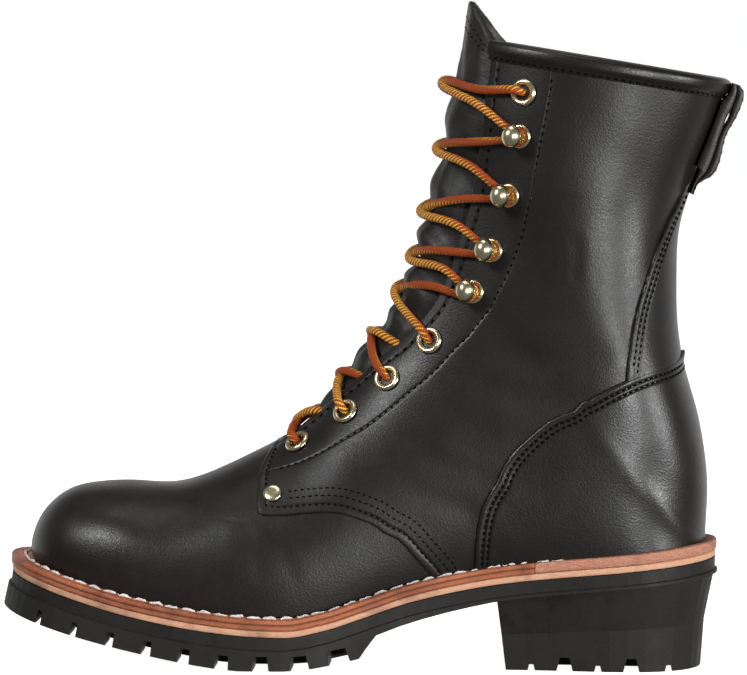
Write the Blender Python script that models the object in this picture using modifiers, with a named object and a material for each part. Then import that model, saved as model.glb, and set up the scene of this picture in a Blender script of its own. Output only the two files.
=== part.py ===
"""Logger boot for the left foot, modelled as the pieces that a maker puts together.

Frame, in metres: the toe points to -X, the outer side faces -Y and +Z is up. The origin lies on
the floor under the middle of the boot.

The upper, and all that lies on it, comes from one function, boot_surface. It places points on a
fan of flat sections: each runs from the ridge of the boot down to its lower line, which follows
the sole and then climbs the back of the shaft.
"""

import math

import bmesh
import bpy
import numpy as np
from mathutils import Matrix, Vector

# Driving sizes of the last and the sole
LAST_LENGTH = 0.2894
BALL_WIDTH = 0.094
INSTEP_HEIGHT = 0.072
SHAFT_HEIGHT = 0.2125
SHAFT_WIDTH = 0.0844
COUNTER_HEIGHT = 0.0885
FORE_STACK = 0.022
TOE_SPRING = 0.024
HEEL_RISE = 0.033
BACK_SHIFT = 0.0012

# Layers
GAP = 0.0003
QUARTER_WALL = 0.0030
VAMP_STEP = 0.0012
OVERLAY_WALL = 0.0016
TONGUE_WALL = 0.0030
TONGUE_GAP = 0.0005
TONGUE_PUFF = 0.0009
WELT_THICK = 0.0043
MIDSOLE_THICK = 0.0027
WELT_MARGIN = 0.0095
WELT_INNER = 0.0070
INSOLE_THICK = 0.0035
INSOLE_GAP = 0.0020
RUBBER_STRIP = 0.0090
HEEL_STRIP = 0.0068
SOLE_FLARE = 0.0030
LUG_DEPTH = 0.0070
SKIRT = 0.0050

# Lugs and heel
FOREPART_END = 0.5050
BREAST_AT = 0.7000
BREAST_LEAN = 0.0040
LUG_REAR = 0.0015
LUG_EDGE_LIFT = 0.0010
LUG_CHAMFER = 0.0050
EDGE_STEP = 0.0005
GROOVE_PITCH = 0.0159
GROOVE_FIRST = 0.0178
GROOVE_COUNT = 9
GROOVE_NARROW = 0.0020
GROOVE_WIDE = 0.0072
CHANNEL_INSET = 0.0240
CHANNEL_WIDTH = 0.0050
HEEL_TOP_INSET = 0.0010
HEEL_TAPER = 0.0060
NOTCH_DEPTH = 0.0058
NOTCH_REACH = 0.0190
HEEL_NOTCHES = {
    "share": (0.13, 0.30, 0.47, 0.64, 0.83),
    "width": (0.45, 1.00, 0.45, 1.00, 0.45),
    "depth": (0.45, 1.00, 0.45, 1.00, 0.45),
}
NOTCH_WIDTH = 0.0040
RAND_AT = 0.7460

# Hardware
EYELET_RADIUS = 0.0054
EYELET_BORE = 0.0027
EYELET_BARREL = 0.0033
EYELET_RIM = 0.0012
HOOK_BASE_RADIUS = 0.0051
HOOK_BALL_RADIUS = 0.0038
HOOK_NECK_RADIUS = 0.0022
HOOK_STAND = 0.0058
HOOK_FORWARD = 0.0022
RIVET_RADIUS = 0.0040
SEAT_GAP = 0.0005
HOLE_CLEARANCE = 0.0005
FACING_SETBACK = 0.0195
LACE_RADIUS = 0.0020
LACE_REACH = 0.0085
LACE_LIFT = 0.0011
BAR_LIFT = 0.0005
CROSSING_STEP = 0.30
BAR_ARCH = 1.50
BAR_REACH = 1.12
END_SHIFT = 0.34
HARDWARE_SIDES = 10

# Collar, backstay and loop
BINDING_DEPTH = 0.0075
BINDING_WALL = 0.0013
BINDING_ROUND = 0.0011
EDGE_ROUND = 0.0006
LOOP_WIDTH = 0.0220
LOOP_LENGTH = 0.0480
LOOP_STAND = 0.0066
SLIT_UP = 0.71
SLIT_LENGTH = 0.0050
SLIT_WIDTH = 0.0014

# Side view of the pull loop: up from its foot in shares of LOOP_LENGTH, out in shares of LOOP_STAND
LOOP_SHAPE = {
    "up": (0.02, 0.14, 0.21, 0.29, 0.40, 0.52, 0.60, 0.68, 0.78, 0.90, 0.97, 1.01),
    "stand": (0.20, 0.30, 0.75, 0.95, 0.80, 0.48, 0.45, 0.70, 0.90, 0.92, 0.75, 0.40),
}

# Plan of the last: shares of LAST_LENGTH along, and of BALL_WIDTH to each side
TOE_SIDE_SHIFT = 0.043
LAST_PLAN = {
    "along": (0.012, 0.036, 0.070, 0.126, 0.212, 0.299, 0.375, 0.471, 0.575, 0.679, 0.782, 0.879,
              0.941, 0.979),
    "outer": (0.144, 0.277, 0.367, 0.441, 0.493, 0.510, 0.502, 0.445, 0.378, 0.343, 0.340, 0.345,
              0.301, 0.202),
    "inner": (0.223, 0.335, 0.415, 0.468, 0.489, 0.479, 0.431, 0.351, 0.298, 0.290, 0.321, 0.338,
              0.301, 0.207),
}

# Height of the welt's top over its height at the ball: shares of TOE_SPRING and HEEL_RISE
SEAT_LINE = {
    "along": (-0.050, 0.007, 0.060, 0.167, 0.274, 0.350, 0.392, 0.447, 0.506, 0.570, 0.640, 0.710,
              0.780, 0.890, 1.030),
    "toe": (0.92, 0.775, 0.610, 0.302, 0.092, 0.012, 0.0, 0.0, 0.0, 0.0, 0.0, 0.0, 0.0, 0.0, 0.0),
    "heel": (0.0, 0.0, 0.0, 0.0, 0.0, 0.0, 0.0, 0.082, 0.245, 0.433, 0.580, 0.690, 0.765, 0.864,
             1.0),
}

# Height of the forepart's tread: shares of TOE_SPRING
TREAD_LINE = {
    "along": (-0.060, -0.005, 0.060, 0.126, 0.178, 0.236, 0.285, 0.320, 0.405, 0.440, 0.475, 0.510),
    "rise": (0.880, 0.735, 0.555, 0.385, 0.262, 0.135, 0.045, 0.0, 0.0, 0.060, 0.135, 0.240),
}

# Width that the sole adds around the last: shares of WELT_MARGIN and SOLE_FLARE
SOLE_MARGIN = {
    "along": (-0.05, 0.10, 0.35, 0.60, 0.80, 1.05),
    "welt": (1.00, 0.98, 0.95, 0.75, 0.68, 0.68),
    "flare": (1.00, 0.75, 0.40, 0.10, 0.0, 0.0),
}

# Sections of the forepart, from the toe to the heel's corner. base: where the section meets the
# sole. ridge and rise: its top end, along and above the seat line in shares of INSTEP_HEIGHT.
# outer and inner: its widest half widths in shares of BALL_WIDTH. wide_at: the level of the
# widest point. round: how full it is towards the ridge. gap: half of the throat's width.
FOREPART = {
    "base": (0.002, 0.007, 0.017, 0.031, 0.050, 0.070, 0.098, 0.133, 0.174, 0.226, 0.281, 0.337,
             0.392, 0.451, 0.513, 0.582, 0.658, 0.741, 0.824, 0.900, 0.958, 0.995),
    "ridge": (0.002, -0.003, -0.006, -0.002, 0.008, 0.027, 0.057, 0.100, 0.153, 0.214, 0.273,
              0.325, 0.366, 0.411, 0.447, 0.476, 0.505, 0.530, 0.549, 0.565, 0.575, 0.582),
    "rise": (-0.069, 0.000, 0.090, 0.195, 0.310, 0.424, 0.530, 0.601, 0.645, 0.684, 0.794, 0.918,
             1.014, 1.106, 1.188, 1.234, 1.327, 1.408, 1.523, 1.634, 1.744, 1.845),
    "outer": (0.000, 0.105, 0.192, 0.262, 0.327, 0.375, 0.422, 0.462, 0.494, 0.517, 0.530, 0.532,
              0.521, 0.496, 0.466, 0.436, 0.413, 0.398, 0.387, 0.383, 0.383, 0.385),
    "inner": (0.000, 0.168, 0.262, 0.325, 0.384, 0.422, 0.456, 0.483, 0.500, 0.506, 0.502, 0.485,
              0.464, 0.436, 0.413, 0.394, 0.383, 0.377, 0.372, 0.372, 0.374, 0.378),
    "wide_at": (0.30, 0.30, 0.30, 0.30, 0.30, 0.30, 0.29, 0.28, 0.28, 0.27, 0.27, 0.27,
                0.27, 0.28, 0.29, 0.30, 0.32, 0.34, 0.36, 0.38, 0.39, 0.40),
    "round": (2.20, 2.20, 2.20, 2.20, 2.25, 2.30, 2.35, 2.40, 2.40, 2.30, 2.20, 2.10,
              2.00, 1.95, 1.97, 2.02, 2.10, 2.25, 2.40, 2.50, 2.52, 2.50),
    "gap": (0.064, 0.064, 0.064, 0.064, 0.064, 0.064, 0.064, 0.064, 0.064, 0.064, 0.070, 0.084,
            0.102, 0.122, 0.146, 0.170, 0.196, 0.223, 0.245, 0.258, 0.260, 0.262),
    "lean": (0.043, 0.042, 0.041, 0.040, 0.038, 0.036, 0.034, 0.033, 0.032, 0.031, 0.030, 0.028,
             0.025, 0.021, 0.017, 0.013, 0.009, 0.006, 0.003, 0.0, 0.0, 0.0),
}

# Sections of the shaft, from the heel's corner to above the collar. back and front: the two ends
# along the boot. low and high: their heights above the seat line at the heel, in shares of
# SHAFT_HEIGHT. half: half width in shares of SHAFT_WIDTH.
SHAFT = {
    "back": (0.998, 1.000, 0.994, 0.980, 0.962, 0.952, 0.950, 0.953, 0.972, 1.000, 1.026, 1.050),
    "low": (0.016, 0.095, 0.184, 0.273, 0.363, 0.452, 0.541, 0.631, 0.722, 0.822, 0.925, 1.027),
    "front": (0.587, 0.594, 0.601, 0.607, 0.612, 0.6165, 0.6215, 0.627, 0.6325, 0.6365, 0.641,
              0.651),
    "high": (0.659, 0.701, 0.742, 0.781, 0.818, 0.854, 0.889, 0.920, 0.950, 0.979, 1.0065, 1.071),
    "half": (0.430, 0.433, 0.437, 0.441, 0.448, 0.457, 0.466, 0.475, 0.483, 0.491, 0.498, 0.502),
    "wide_at": (0.42, 0.43, 0.44, 0.46, 0.47, 0.48, 0.49, 0.50, 0.50, 0.50, 0.50, 0.50),
    "round": (2.45, 2.35, 2.25, 2.12, 2.05, 2.00, 2.00, 2.00, 2.00, 2.00, 2.00, 2.00),
    "gap": (0.294, 0.297, 0.300, 0.302, 0.306, 0.314, 0.320, 0.322, 0.316, 0.308, 0.298, 0.290),
}

# Side outlines: along in shares of LAST_LENGTH, up in shares of the named height
QUARTER_EDGE = {
    "along": (0.392, 0.372, 0.359, 0.351, 0.345, 0.344, 0.347, 0.377, 0.419, 0.462, 0.493, 0.525,
              0.554, 0.579, 0.603, 0.625),
    "up": (1.150, 1.035, 0.965, 0.885, 0.800, 0.710, 0.606, 0.604, 0.608, 0.574, 0.508, 0.414,
           0.305, 0.170, 0.020, -0.130),
}
COUNTER_EDGE = {
    "along": (1.020, 0.966, 0.940, 0.896, 0.850, 0.798, 0.755, 0.723, 0.698, 0.683, 0.672, 0.668,
              0.665, 0.664),
    "up": (0.957, 0.931, 0.909, 0.866, 0.802, 0.729, 0.661, 0.585, 0.492, 0.398, 0.299, 0.176,
           0.021, -0.140),
}

# Half width of the backstay: section, and reach round from the middle of the back
BACKSTAY_EDGE = {
    "section": (22.5, 24.0, 25.1, 26.2, 27.1, 28.1, 29.0, 29.7, 30.6),
    "reach": (0.315, 0.300, 0.270, 0.230, 0.195, 0.155, 0.105, 0.066, 0.050),
}
BACKSTAY_COLUMNS = 5
BACKSTAY_TOP_ROWS = (29.8, 30.35)

# Steps of the surface's grid: columns from the ridge to the throat's edge, to the widest point
# and to the lower end
GAP_COLUMNS = 2
SIDE_COLUMNS = 6
LOW_COLUMNS = 4
THROAT_SHARE = 0.20
WIDE_SHARE = 0.62
SOLE_STATIONS = 48

# Places on the facing, lowest first: section, and distance behind the throat's edge as a share of
# FACING_SETBACK. The last eyelet is the one above the hooks.
EYELET_PLACES = {
    "section": (12.70, 14.45, 16.10, 18.00, 30.25),
    "setback": (0.60, 0.68, 0.60, 0.50, 1.00),
}
HOOK_PLACES = {
    "section": (20.90, 23.30, 26.05, 28.60),
    "setback": (0.77, 0.91, 1.05, 1.10),
}
RIVET_ALONG = 0.369
RIVET_UP = 0.715

# Where the lace's crossings lie on the tongue, top one first: section, and height over the tongue
# in shares of LACE_RADIUS. Then the sections of the bars between the lower eyelets.
CROSSINGS = {
    "section": (28.50, 24.95, 21.85, 19.45, 17.90),
    "height": (2.95, 0.90, 0.80, 0.80, 0.80),
}
LOWER_BARS = (16.10, 14.50, 12.85)

THROAT_ROW = 12
CORNER_ROW = 21
COLLAR_ROW = 32
TONGUE_ROW = 11
TONGUE_TAPER_ROW = 28
TONGUE_RISE = 0.98
TONGUE_FALL = 3.0


def natural_spline(knots, values, at):
    """Values on the natural cubic spline through the knots."""
    knots = np.asarray(knots, float)
    values = np.asarray(values, float)
    gaps = np.diff(knots)
    slopes = np.diff(values) / gaps
    count = len(knots)
    matrix = np.eye(count)
    right = np.zeros(count)
    for row in range(1, count - 1):
        matrix[row, row - 1] = gaps[row - 1]
        matrix[row, row] = 2.0 * (gaps[row - 1] + gaps[row])
        matrix[row, row + 1] = gaps[row]
        right[row] = 6.0 * (slopes[row] - slopes[row - 1])
    bend = np.linalg.solve(matrix, right)
    at = np.asarray(at, float)
    k = np.clip(np.searchsorted(knots, at, side="right") - 1, 0, count - 2)
    t = at - knots[k]
    h = gaps[k]
    first = slopes[k] - h * (2.0 * bend[k] + bend[k + 1]) / 6.0
    return values[k] + t * (first + t * (bend[k] / 2.0 + t * (bend[k + 1] - bend[k]) / (6.0 * h)))


def monotone(knots, values, at):
    """Values on a curve through the knots that keeps flat runs flat."""
    knots = np.asarray(knots, float)
    values = np.asarray(values, float)
    gaps = np.diff(knots)
    slopes = np.diff(values) / gaps
    tangents = np.zeros(len(knots))
    for row in range(1, len(knots) - 1):
        if slopes[row - 1] * slopes[row] > 0.0:
            tangents[row] = 2.0 / (1.0 / slopes[row - 1] + 1.0 / slopes[row])
    tangents[0] = slopes[0]
    tangents[-1] = slopes[-1]
    at = np.asarray(at, float)
    k = np.clip(np.searchsorted(knots, at, side="right") - 1, 0, len(knots) - 2)
    h = gaps[k]
    t = (at - knots[k]) / h
    start = values[k] * (1.0 + 2.0 * t) * (1.0 - t) ** 2 + h * tangents[k] * t * (1.0 - t) ** 2
    end = values[k + 1] * t * t * (3.0 - 2.0 * t) - h * tangents[k + 1] * t * t * (1.0 - t)
    return start + end


TOE_X = -0.5 * LAST_LENGTH - BACK_SHIFT


def along_of(x):
    """Share of the last's length at x."""
    return (np.asarray(x, float) - TOE_X) / LAST_LENGTH


def seat_level(x):
    """Height of the welt's top, on which the upper stands."""
    along = along_of(x)
    toe = monotone(SEAT_LINE["along"], SEAT_LINE["toe"], along)
    heel = monotone(SEAT_LINE["along"], SEAT_LINE["heel"], along)
    return FORE_STACK + TOE_SPRING * toe + HEEL_RISE * heel


HEEL_X = TOE_X + LAST_LENGTH
HEEL_SEAT = float(seat_level(HEEL_X))


def plan_outline():
    """The last's closed plan outline: toe, outer side, heel, inner side, in 240 steps."""
    along = np.array(LAST_PLAN["along"])
    outer = -np.array(LAST_PLAN["outer"])
    inner = np.array(LAST_PLAN["inner"])
    x = TOE_X + LAST_LENGTH * np.concatenate(([0.0], along, [1.0], along[::-1]))
    y = BALL_WIDTH * np.concatenate(([TOE_SIDE_SHIFT], outer, [0.0], inner[::-1]))
    x = np.concatenate((x[-3:], x, x[:4]))
    y = np.concatenate((y[-3:], y, y[:4]))
    run = np.concatenate(([0.0], np.cumsum(np.hypot(np.diff(x), np.diff(y)))))
    at = np.linspace(run[3], run[-4], 241)[:-1]
    return np.column_stack((natural_spline(run, x, at), natural_spline(run, y, at)))


PLAN = plan_outline()


def grown_plan(margin):
    """The plan outline moved outwards by margin, a number or one per point."""
    ahead = np.roll(PLAN, -1, axis=0) - np.roll(PLAN, 1, axis=0)
    ahead /= np.linalg.norm(ahead, axis=1)[:, None]
    outward = np.column_stack((-ahead[:, 1], ahead[:, 0]))
    return PLAN - outward * np.reshape(margin, (-1, 1))


def sides(outline):
    """An outline's outer and inner side, each as x and y from its toe tip to its heel."""
    toe = int(np.argmin(outline[:, 0]))
    turned = np.roll(outline, -toe, axis=0)
    heel = int(np.argmax(turned[:, 0]))
    first = turned[:heel + 1]
    second = np.vstack((turned[heel:], turned[:1]))[::-1]
    if first[len(first) // 2, 1] < second[len(second) // 2, 1]:
        return first, second
    return second, first


LAST_SIDES = sides(PLAN)


def last_half_widths(x):
    """Outer and inner half width of the last's plan at x."""
    outer, inner = LAST_SIDES
    x = min(max(x, outer[0, 0]), outer[-1, 0])
    return -float(np.interp(x, outer[:, 0], outer[:, 1])), float(np.interp(x, inner[:, 0], inner[:, 1]))


def section_rows():
    """Every section as base point, ridge point, half widths and shape values."""
    rows = []
    columns = ("base", "ridge", "rise", "outer", "inner", "wide_at", "round", "gap", "lean")
    for base, ridge, rise, outer, inner, wide_at, full, gap, lean in zip(*(FOREPART[c] for c in columns)):
        base_x = TOE_X + base * LAST_LENGTH
        seat = float(seat_level(base_x))
        ends = last_half_widths(base_x)
        top_z = seat + rise * INSTEP_HEIGHT
        if not rows:
            ends = (0.0, 0.0)
            top_z = seat - SKIRT
        rows.append((base_x, seat - SKIRT, TOE_X + ridge * LAST_LENGTH, top_z,
                     outer * BALL_WIDTH, inner * BALL_WIDTH, ends[0], ends[1], wide_at, full,
                     gap * BALL_WIDTH, lean * BALL_WIDTH))
    columns = ("back", "low", "front", "high", "half", "wide_at", "round", "gap")
    for back, low, front, high, half, wide_at, full, gap in zip(*(SHAFT[c] for c in columns)):
        rows.append((TOE_X + back * LAST_LENGTH, HEEL_SEAT + low * SHAFT_HEIGHT,
                     TOE_X + front * LAST_LENGTH, HEEL_SEAT + high * SHAFT_HEIGHT,
                     half * SHAFT_WIDTH, half * SHAFT_WIDTH, 0.0, 0.0, wide_at, full,
                     gap * SHAFT_WIDTH, 0.0))
    return np.array(rows)


ROWS = section_rows()
ROW_NUMBERS = np.arange(len(ROWS))
SECTION_CACHE = {}


def section_at(u):
    """The values of section u, between two rows where u isn't whole."""
    key = round(float(u), 6)
    if key not in SECTION_CACHE:
        values = [float(natural_spline(ROW_NUMBERS, ROWS[:, c], key)) for c in range(ROWS.shape[1])]
        SECTION_CACHE[key] = values
    return SECTION_CACHE[key]


def section_point(u, v):
    """A point of section u. v runs from -1 at the outer end over 0 at the ridge to 1."""
    base_x, base_z, ridge_x, ridge_z, outer, inner, end_out, end_in, wide_at, full, gap, lean = section_at(u)
    side = -1.0 if v < 0.0 else 1.0
    half = max(outer if v < 0.0 else inner, 1e-7)
    end = min(max(end_out if v < 0.0 else end_in, 0.0), 0.995 * half)
    if u >= CORNER_ROW + 1:
        end = 0.0
    share = min(abs(v), 1.0)
    edge = math.asin(min(gap / half, 0.98) ** (full / 2.0))
    if share <= WIDE_SHARE:
        if share <= THROAT_SHARE:
            turn = edge * share / THROAT_SHARE
        else:
            turn = edge + (math.pi / 2.0 - edge) * (share - THROAT_SHARE) / (WIDE_SHARE - THROAT_SHARE)
        across = half * math.sin(turn) ** (2.0 / full)
        level = wide_at + (1.0 - wide_at) * max(math.cos(turn), 0.0) ** (2.0 / full)
    else:
        depth = wide_at / (1.0 - (end / half) ** 2.2) ** (1.0 / 2.2)
        last_turn = math.asin(min((wide_at / depth) ** 1.1, 1.0))
        turn = last_turn * (share - WIDE_SHARE) / (1.0 - WIDE_SHARE)
        across = half * max(math.cos(turn), 0.0) ** (2.0 / 2.2)
        level = wide_at - depth * math.sin(turn) ** (2.0 / 2.2)
        across = end if share >= 1.0 else across
    y = side * across + lean * level
    if u < 1.0:
        y = side * across + lean
    return Vector((base_x + level * (ridge_x - base_x), y, base_z + level * (ridge_z - base_z)))


def surface_normal(u, v):
    """Outward normal of the surface at u, v."""
    step_u = 0.06
    step_v = 0.012
    low_u = max(u - step_u, 0.02)
    high_u = min(u + step_u, len(ROWS) - 1.0)
    v = min(max(v, -0.985), 0.985)
    along = section_point(high_u, v) - section_point(low_u, v)
    around = section_point(u, v + step_v) - section_point(u, v - step_v)
    return along.cross(around).normalized()


def boot_surface(u, v, offset=0.0):
    """A point of the upper's outer form, moved outwards by offset."""
    point = section_point(u, v)
    if offset == 0.0:
        return point
    if u < 0.01:
        return point + surface_normal(0.3, 0.0) * offset
    normal = surface_normal(u, v)
    if abs(v) > 0.999 and u > CORNER_ROW + 0.999:
        normal.y = 0.0
    return point + normal.normalized() * offset


def column_values():
    """The grid's v values, from the outer end to the inner end."""
    low = np.linspace(1.0, WIDE_SHARE, LOW_COLUMNS + 1)[:-1]
    middle = np.linspace(WIDE_SHARE, THROAT_SHARE, SIDE_COLUMNS + 1)[:-1]
    top = np.linspace(THROAT_SHARE, 0.0, GAP_COLUMNS + 1)
    half = np.concatenate((low, middle, top))
    return np.concatenate((-half, half[::-1][1:]))


def collection(name):
    """A collection of the scene, made when it is first asked for."""
    found = bpy.data.collections.get(name)
    if found is None:
        found = bpy.data.collections.new(name)
        bpy.context.scene.collection.children.link(found)
    return found


PARTS = "logger_boot"
CUTTERS = "cutters"


def material(name, colour, roughness, metallic=0.0):
    """A Principled material."""
    made = bpy.data.materials.new(name)
    made.use_nodes = True
    shader = made.node_tree.nodes["Principled BSDF"]
    shader.inputs["Base Color"].default_value = (*colour, 1.0)
    shader.inputs["Roughness"].default_value = roughness
    shader.inputs["Metallic"].default_value = metallic
    made.diffuse_color = (*colour, 1.0)
    return made


def add_object(name, mesh, made_of=None):
    """Link a mesh as a piece, or as a cutter where it has no material."""
    thing = bpy.data.objects.new(name, mesh)
    if made_of is None:
        collection(CUTTERS).objects.link(thing)
        thing.hide_render = True
        thing.display_type = "WIRE"
    else:
        collection(PARTS).objects.link(thing)
        mesh.materials.append(made_of)
    return thing


def mesh_from(bm, name, weld=1e-6):
    """A mesh of a bmesh, welded and with its collapsed faces gone."""
    bmesh.ops.remove_doubles(bm, verts=bm.verts, dist=weld)
    bmesh.ops.dissolve_degenerate(bm, edges=bm.edges, dist=weld)
    mesh = bpy.data.meshes.new(name)
    bm.to_mesh(mesh)
    bm.free()
    return mesh


def loft(name, rings, made_of=None, closed=False):
    """A solid through closed rings of points, with its two ends filled."""
    bm = bmesh.new()
    grid = [[bm.verts.new(point) for point in ring] for ring in rings]
    count = len(grid[0])
    pairs = list(zip(grid, grid[1:]))
    if closed:
        pairs.append((grid[-1], grid[0]))
    for low, high in pairs:
        for k in range(count):
            bm.faces.new((low[k], low[(k + 1) % count], high[(k + 1) % count], high[k]))
    if not closed:
        bm.faces.new(grid[0])
        bm.faces.new(grid[-1])
    bmesh.ops.remove_doubles(bm, verts=bm.verts, dist=1e-6)
    bmesh.ops.recalc_face_normals(bm, faces=bm.faces)
    return add_object(name, mesh_from(bm, name), made_of)


def add_cell(bm, low, high, outer_side):
    """Two triangles between two pairs of grid points, mirrored across the boot.

    Every layer splits its cells the same way, so that layers lie parallel.
    """
    if outer_side:
        bm.faces.new((low[0], high[0], high[1]))
        bm.faces.new((low[0], high[1], low[1]))
    else:
        bm.faces.new((low[0], high[0], low[1]))
        bm.faces.new((high[0], high[1], low[1]))


def walled(thing, wall, outwards):
    """Give an open surface its wall."""
    solidify = thing.modifiers.new("wall", "SOLIDIFY")
    solidify.thickness = wall
    solidify.offset = 1.0 if outwards else -1.0
    solidify.use_even_offset = True
    return thing


def patch(name, us, vs, offset, wall, made_of=None, keep=None, outwards=True):
    """A wall over part of the boot's surface: an open grid with Solidify."""
    bm = bmesh.new()
    grid = [[bm.verts.new(boot_surface(u, v, offset)) for v in vs] for u in us]
    for i in range(len(us) - 1):
        for k in range(len(vs) - 1):
            if keep is None or keep((us[i] + us[i + 1]) / 2.0, (vs[k] + vs[k + 1]) / 2.0):
                add_cell(bm, grid[i][k:k + 2], grid[i + 1][k:k + 2], vs[k] < 0.0)
    loose = [vert for vert in bm.verts if not vert.link_faces]
    bmesh.ops.delete(bm, geom=loose, context="VERTS")
    return walled(add_object(name, mesh_from(bm, name, 1e-5), made_of), wall, outwards)


def shaped_patch(name, rows, made_of):
    """An open surface over rows of section, v and offset that may run uneven."""
    bm = bmesh.new()
    grid = [[bm.verts.new(boot_surface(u, v, offset)) for u, v, offset in row] for row in rows]
    for i in range(len(rows) - 1):
        for k in range(len(rows[i]) - 1):
            add_cell(bm, grid[i][k:k + 2], grid[i + 1][k:k + 2], rows[i][k][1] < 0.0)
    return add_object(name, mesh_from(bm, name), made_of)


def boolean(thing, cutter, operation, use_self=False):
    """Add an exact Boolean modifier."""
    modifier = thing.modifiers.new(cutter.name, "BOOLEAN")
    modifier.operation = operation
    modifier.object = cutter
    modifier.solver = "EXACT"
    modifier.use_self = use_self
    return modifier


def applied(thing):
    """Turn an object's modifiers into its mesh."""
    depsgraph = bpy.context.evaluated_depsgraph_get()
    mesh = bpy.data.meshes.new_from_object(thing.evaluated_get(depsgraph))
    thing.modifiers.clear()
    thing.data = mesh
    return thing


def side_prism(name, points):
    """A cutter: a side view outline, as x and z, drawn out across the boot."""
    bm = bmesh.new()
    reach = 0.8 * BALL_WIDTH
    face = bm.faces.new([bm.verts.new((x, -reach, z)) for x, z in points])
    drawn = bmesh.ops.extrude_face_region(bm, geom=[face])
    moved = [item for item in drawn["geom"] if isinstance(item, bmesh.types.BMVert)]
    bmesh.ops.translate(bm, verts=moved, vec=(0.0, 2.0 * reach, 0.0))
    bmesh.ops.recalc_face_normals(bm, faces=bm.faces)
    return add_object(name, mesh_from(bm, name))


def side_line(table, height, steps=3, lift=0.0):
    """A side outline's points, smoothed: x and z."""
    along = np.array(table["along"])
    up = np.array(table["up"])
    run = np.concatenate(([0.0], np.cumsum(np.hypot(np.diff(along), np.diff(up) * height / LAST_LENGTH))))
    at = np.linspace(run[0], run[-1], steps * (len(run) - 1) + 1)
    along = held_spline(run, along, at)
    up = held_spline(run, up, at)
    x = TOE_X + along * LAST_LENGTH
    z = seat_level(x) + up * height + lift
    return list(zip(x, z))


def held_spline(run, values, at):
    """A gentle curve through hand placed points: the spline, held to their range."""
    return np.clip(natural_spline(run, values, at), min(values), max(values))


def sole_block():
    """A cutter: all that lies below the seat line and its gap."""
    reach = 0.8 * BALL_WIDTH
    xs = np.linspace(TOE_X - 0.02, HEEL_X + 0.03, 60)
    top = [(x, float(seat_level(x)) + GAP) for x in xs]
    rings = []
    for x, z in top:
        rings.append([(x, -reach, -0.03), (x, reach, -0.03), (x, reach, z), (x, -reach, z)])
    return loft("sole_block", rings)


def vamp_skin():
    """A cutter: the leather's thickness over the vamp, in front of the quarters."""
    vs = column_values()
    us = list(range(0, 20))
    skin = patch("vamp_skin", us, vs, -VAMP_STEP, 0.004 + VAMP_STEP)
    edge = side_line(QUARTER_EDGE, INSTEP_HEIGHT, 2)
    front = TOE_X - 0.04
    outline = edge + [(front, -0.03), (front, edge[0][1])]
    boolean(skin, side_prism("vamp_side", outline), "INTERSECT")
    return applied(skin)


def upper(leather, block):
    """The hollow upper: open at the collar, the throat and underneath."""
    def keep(u, v):
        return u < THROAT_ROW or abs(v) > THROAT_SHARE

    us = list(range(0, COLLAR_ROW + 1))
    wall = patch("upper", us, column_values(), 0.0, QUARTER_WALL, leather, keep, outwards=False)
    boolean(wall, vamp_skin(), "DIFFERENCE")
    boolean(wall, block, "DIFFERENCE")
    return wall


def tongue_offset(u, v):
    """How far the tongue lies from the upper's outer form: under the facings, proud between."""
    under = -QUARTER_WALL - TONGUE_GAP
    below_binding = min(max((u - COLLAR_ROW + 3.6) / 1.6, 0.0), 1.0)
    under -= below_binding * (BINDING_WALL + TONGUE_GAP)
    open_share = min(max((u - THROAT_ROW) / 4.0, 0.0), 1.0)
    inside = max(1.0 - (abs(v) / THROAT_SHARE) ** 2, 0.0)
    return under + (TONGUE_PUFF - under) * open_share * inside


def tongue(leather):
    """The tongue: from under the vamp to a rounded tip above the collar."""
    reach = THROAT_SHARE + 3.0 * (WIDE_SHARE - THROAT_SHARE) / SIDE_COLUMNS
    vs = [v for v in column_values() if abs(v) < reach + 1e-6]
    rows = [[(TONGUE_ROW + 0.5, v, tongue_offset(TONGUE_ROW + 0.5, v)) for v in vs]]
    for u in range(TONGUE_ROW + 1, TONGUE_TAPER_ROW + 1):
        rows.append([(u, v, tongue_offset(u, v)) for v in vs])
    steps = COLLAR_ROW - TONGUE_TAPER_ROW + 2
    for k in range(1, steps + 1):
        row = []
        for v in vs:
            top = COLLAR_ROW + TONGUE_RISE * (1.0 - TONGUE_FALL * (v / reach) ** 2)
            u = TONGUE_TAPER_ROW + (top - TONGUE_TAPER_ROW) * k / steps
            row.append((u, v, tongue_offset(min(u, COLLAR_ROW), v)))
        rows.append(row)
    return walled(shaped_patch("tongue", rows, leather), TONGUE_WALL, False)


def behind_throat(u, v):
    """Whether a cell lies behind the throat's edge."""
    return abs(v) > THROAT_SHARE


def counter_outline(lift):
    """The counter's side view outline, its edge lifted a little where that is asked."""
    edge = side_line(COUNTER_EDGE, COUNTER_HEIGHT, 2, lift)
    back = HEEL_X + 0.04
    return edge + [(back, -0.03), (back, edge[0][1])]


def counter(leather, block):
    """The counter: a leather overlay round the heel."""
    us = list(range(14, 30))
    wall = patch("counter", us, column_values(), GAP, OVERLAY_WALL, leather, behind_throat)
    boolean(wall, side_prism("counter_side", counter_outline(0.0)), "INTERSECT")
    boolean(wall, block, "DIFFERENCE")
    return wall


def backstay(leather):
    """The tapered strip up the back, from the counter to the loop."""
    columns = [k / BACKSTAY_COLUMNS for k in range(BACKSTAY_COLUMNS + 1)]
    rows = []
    for u in (*range(23, 30), *BACKSTAY_TOP_ROWS):
        reach = float(monotone(BACKSTAY_EDGE["section"], BACKSTAY_EDGE["reach"], u))
        vs = [1.0 - reach * (1.0 - s) for s in columns] + [-1.0 + reach * s for s in columns[1:]]
        rows.append([(u, v, GAP) for v in vs])
    wall = walled(shaped_patch("backstay", rows, leather), OVERLAY_WALL, True)
    boolean(wall, side_prism("below_backstay", counter_outline(2.0 * GAP)), "DIFFERENCE")
    return wall


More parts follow.
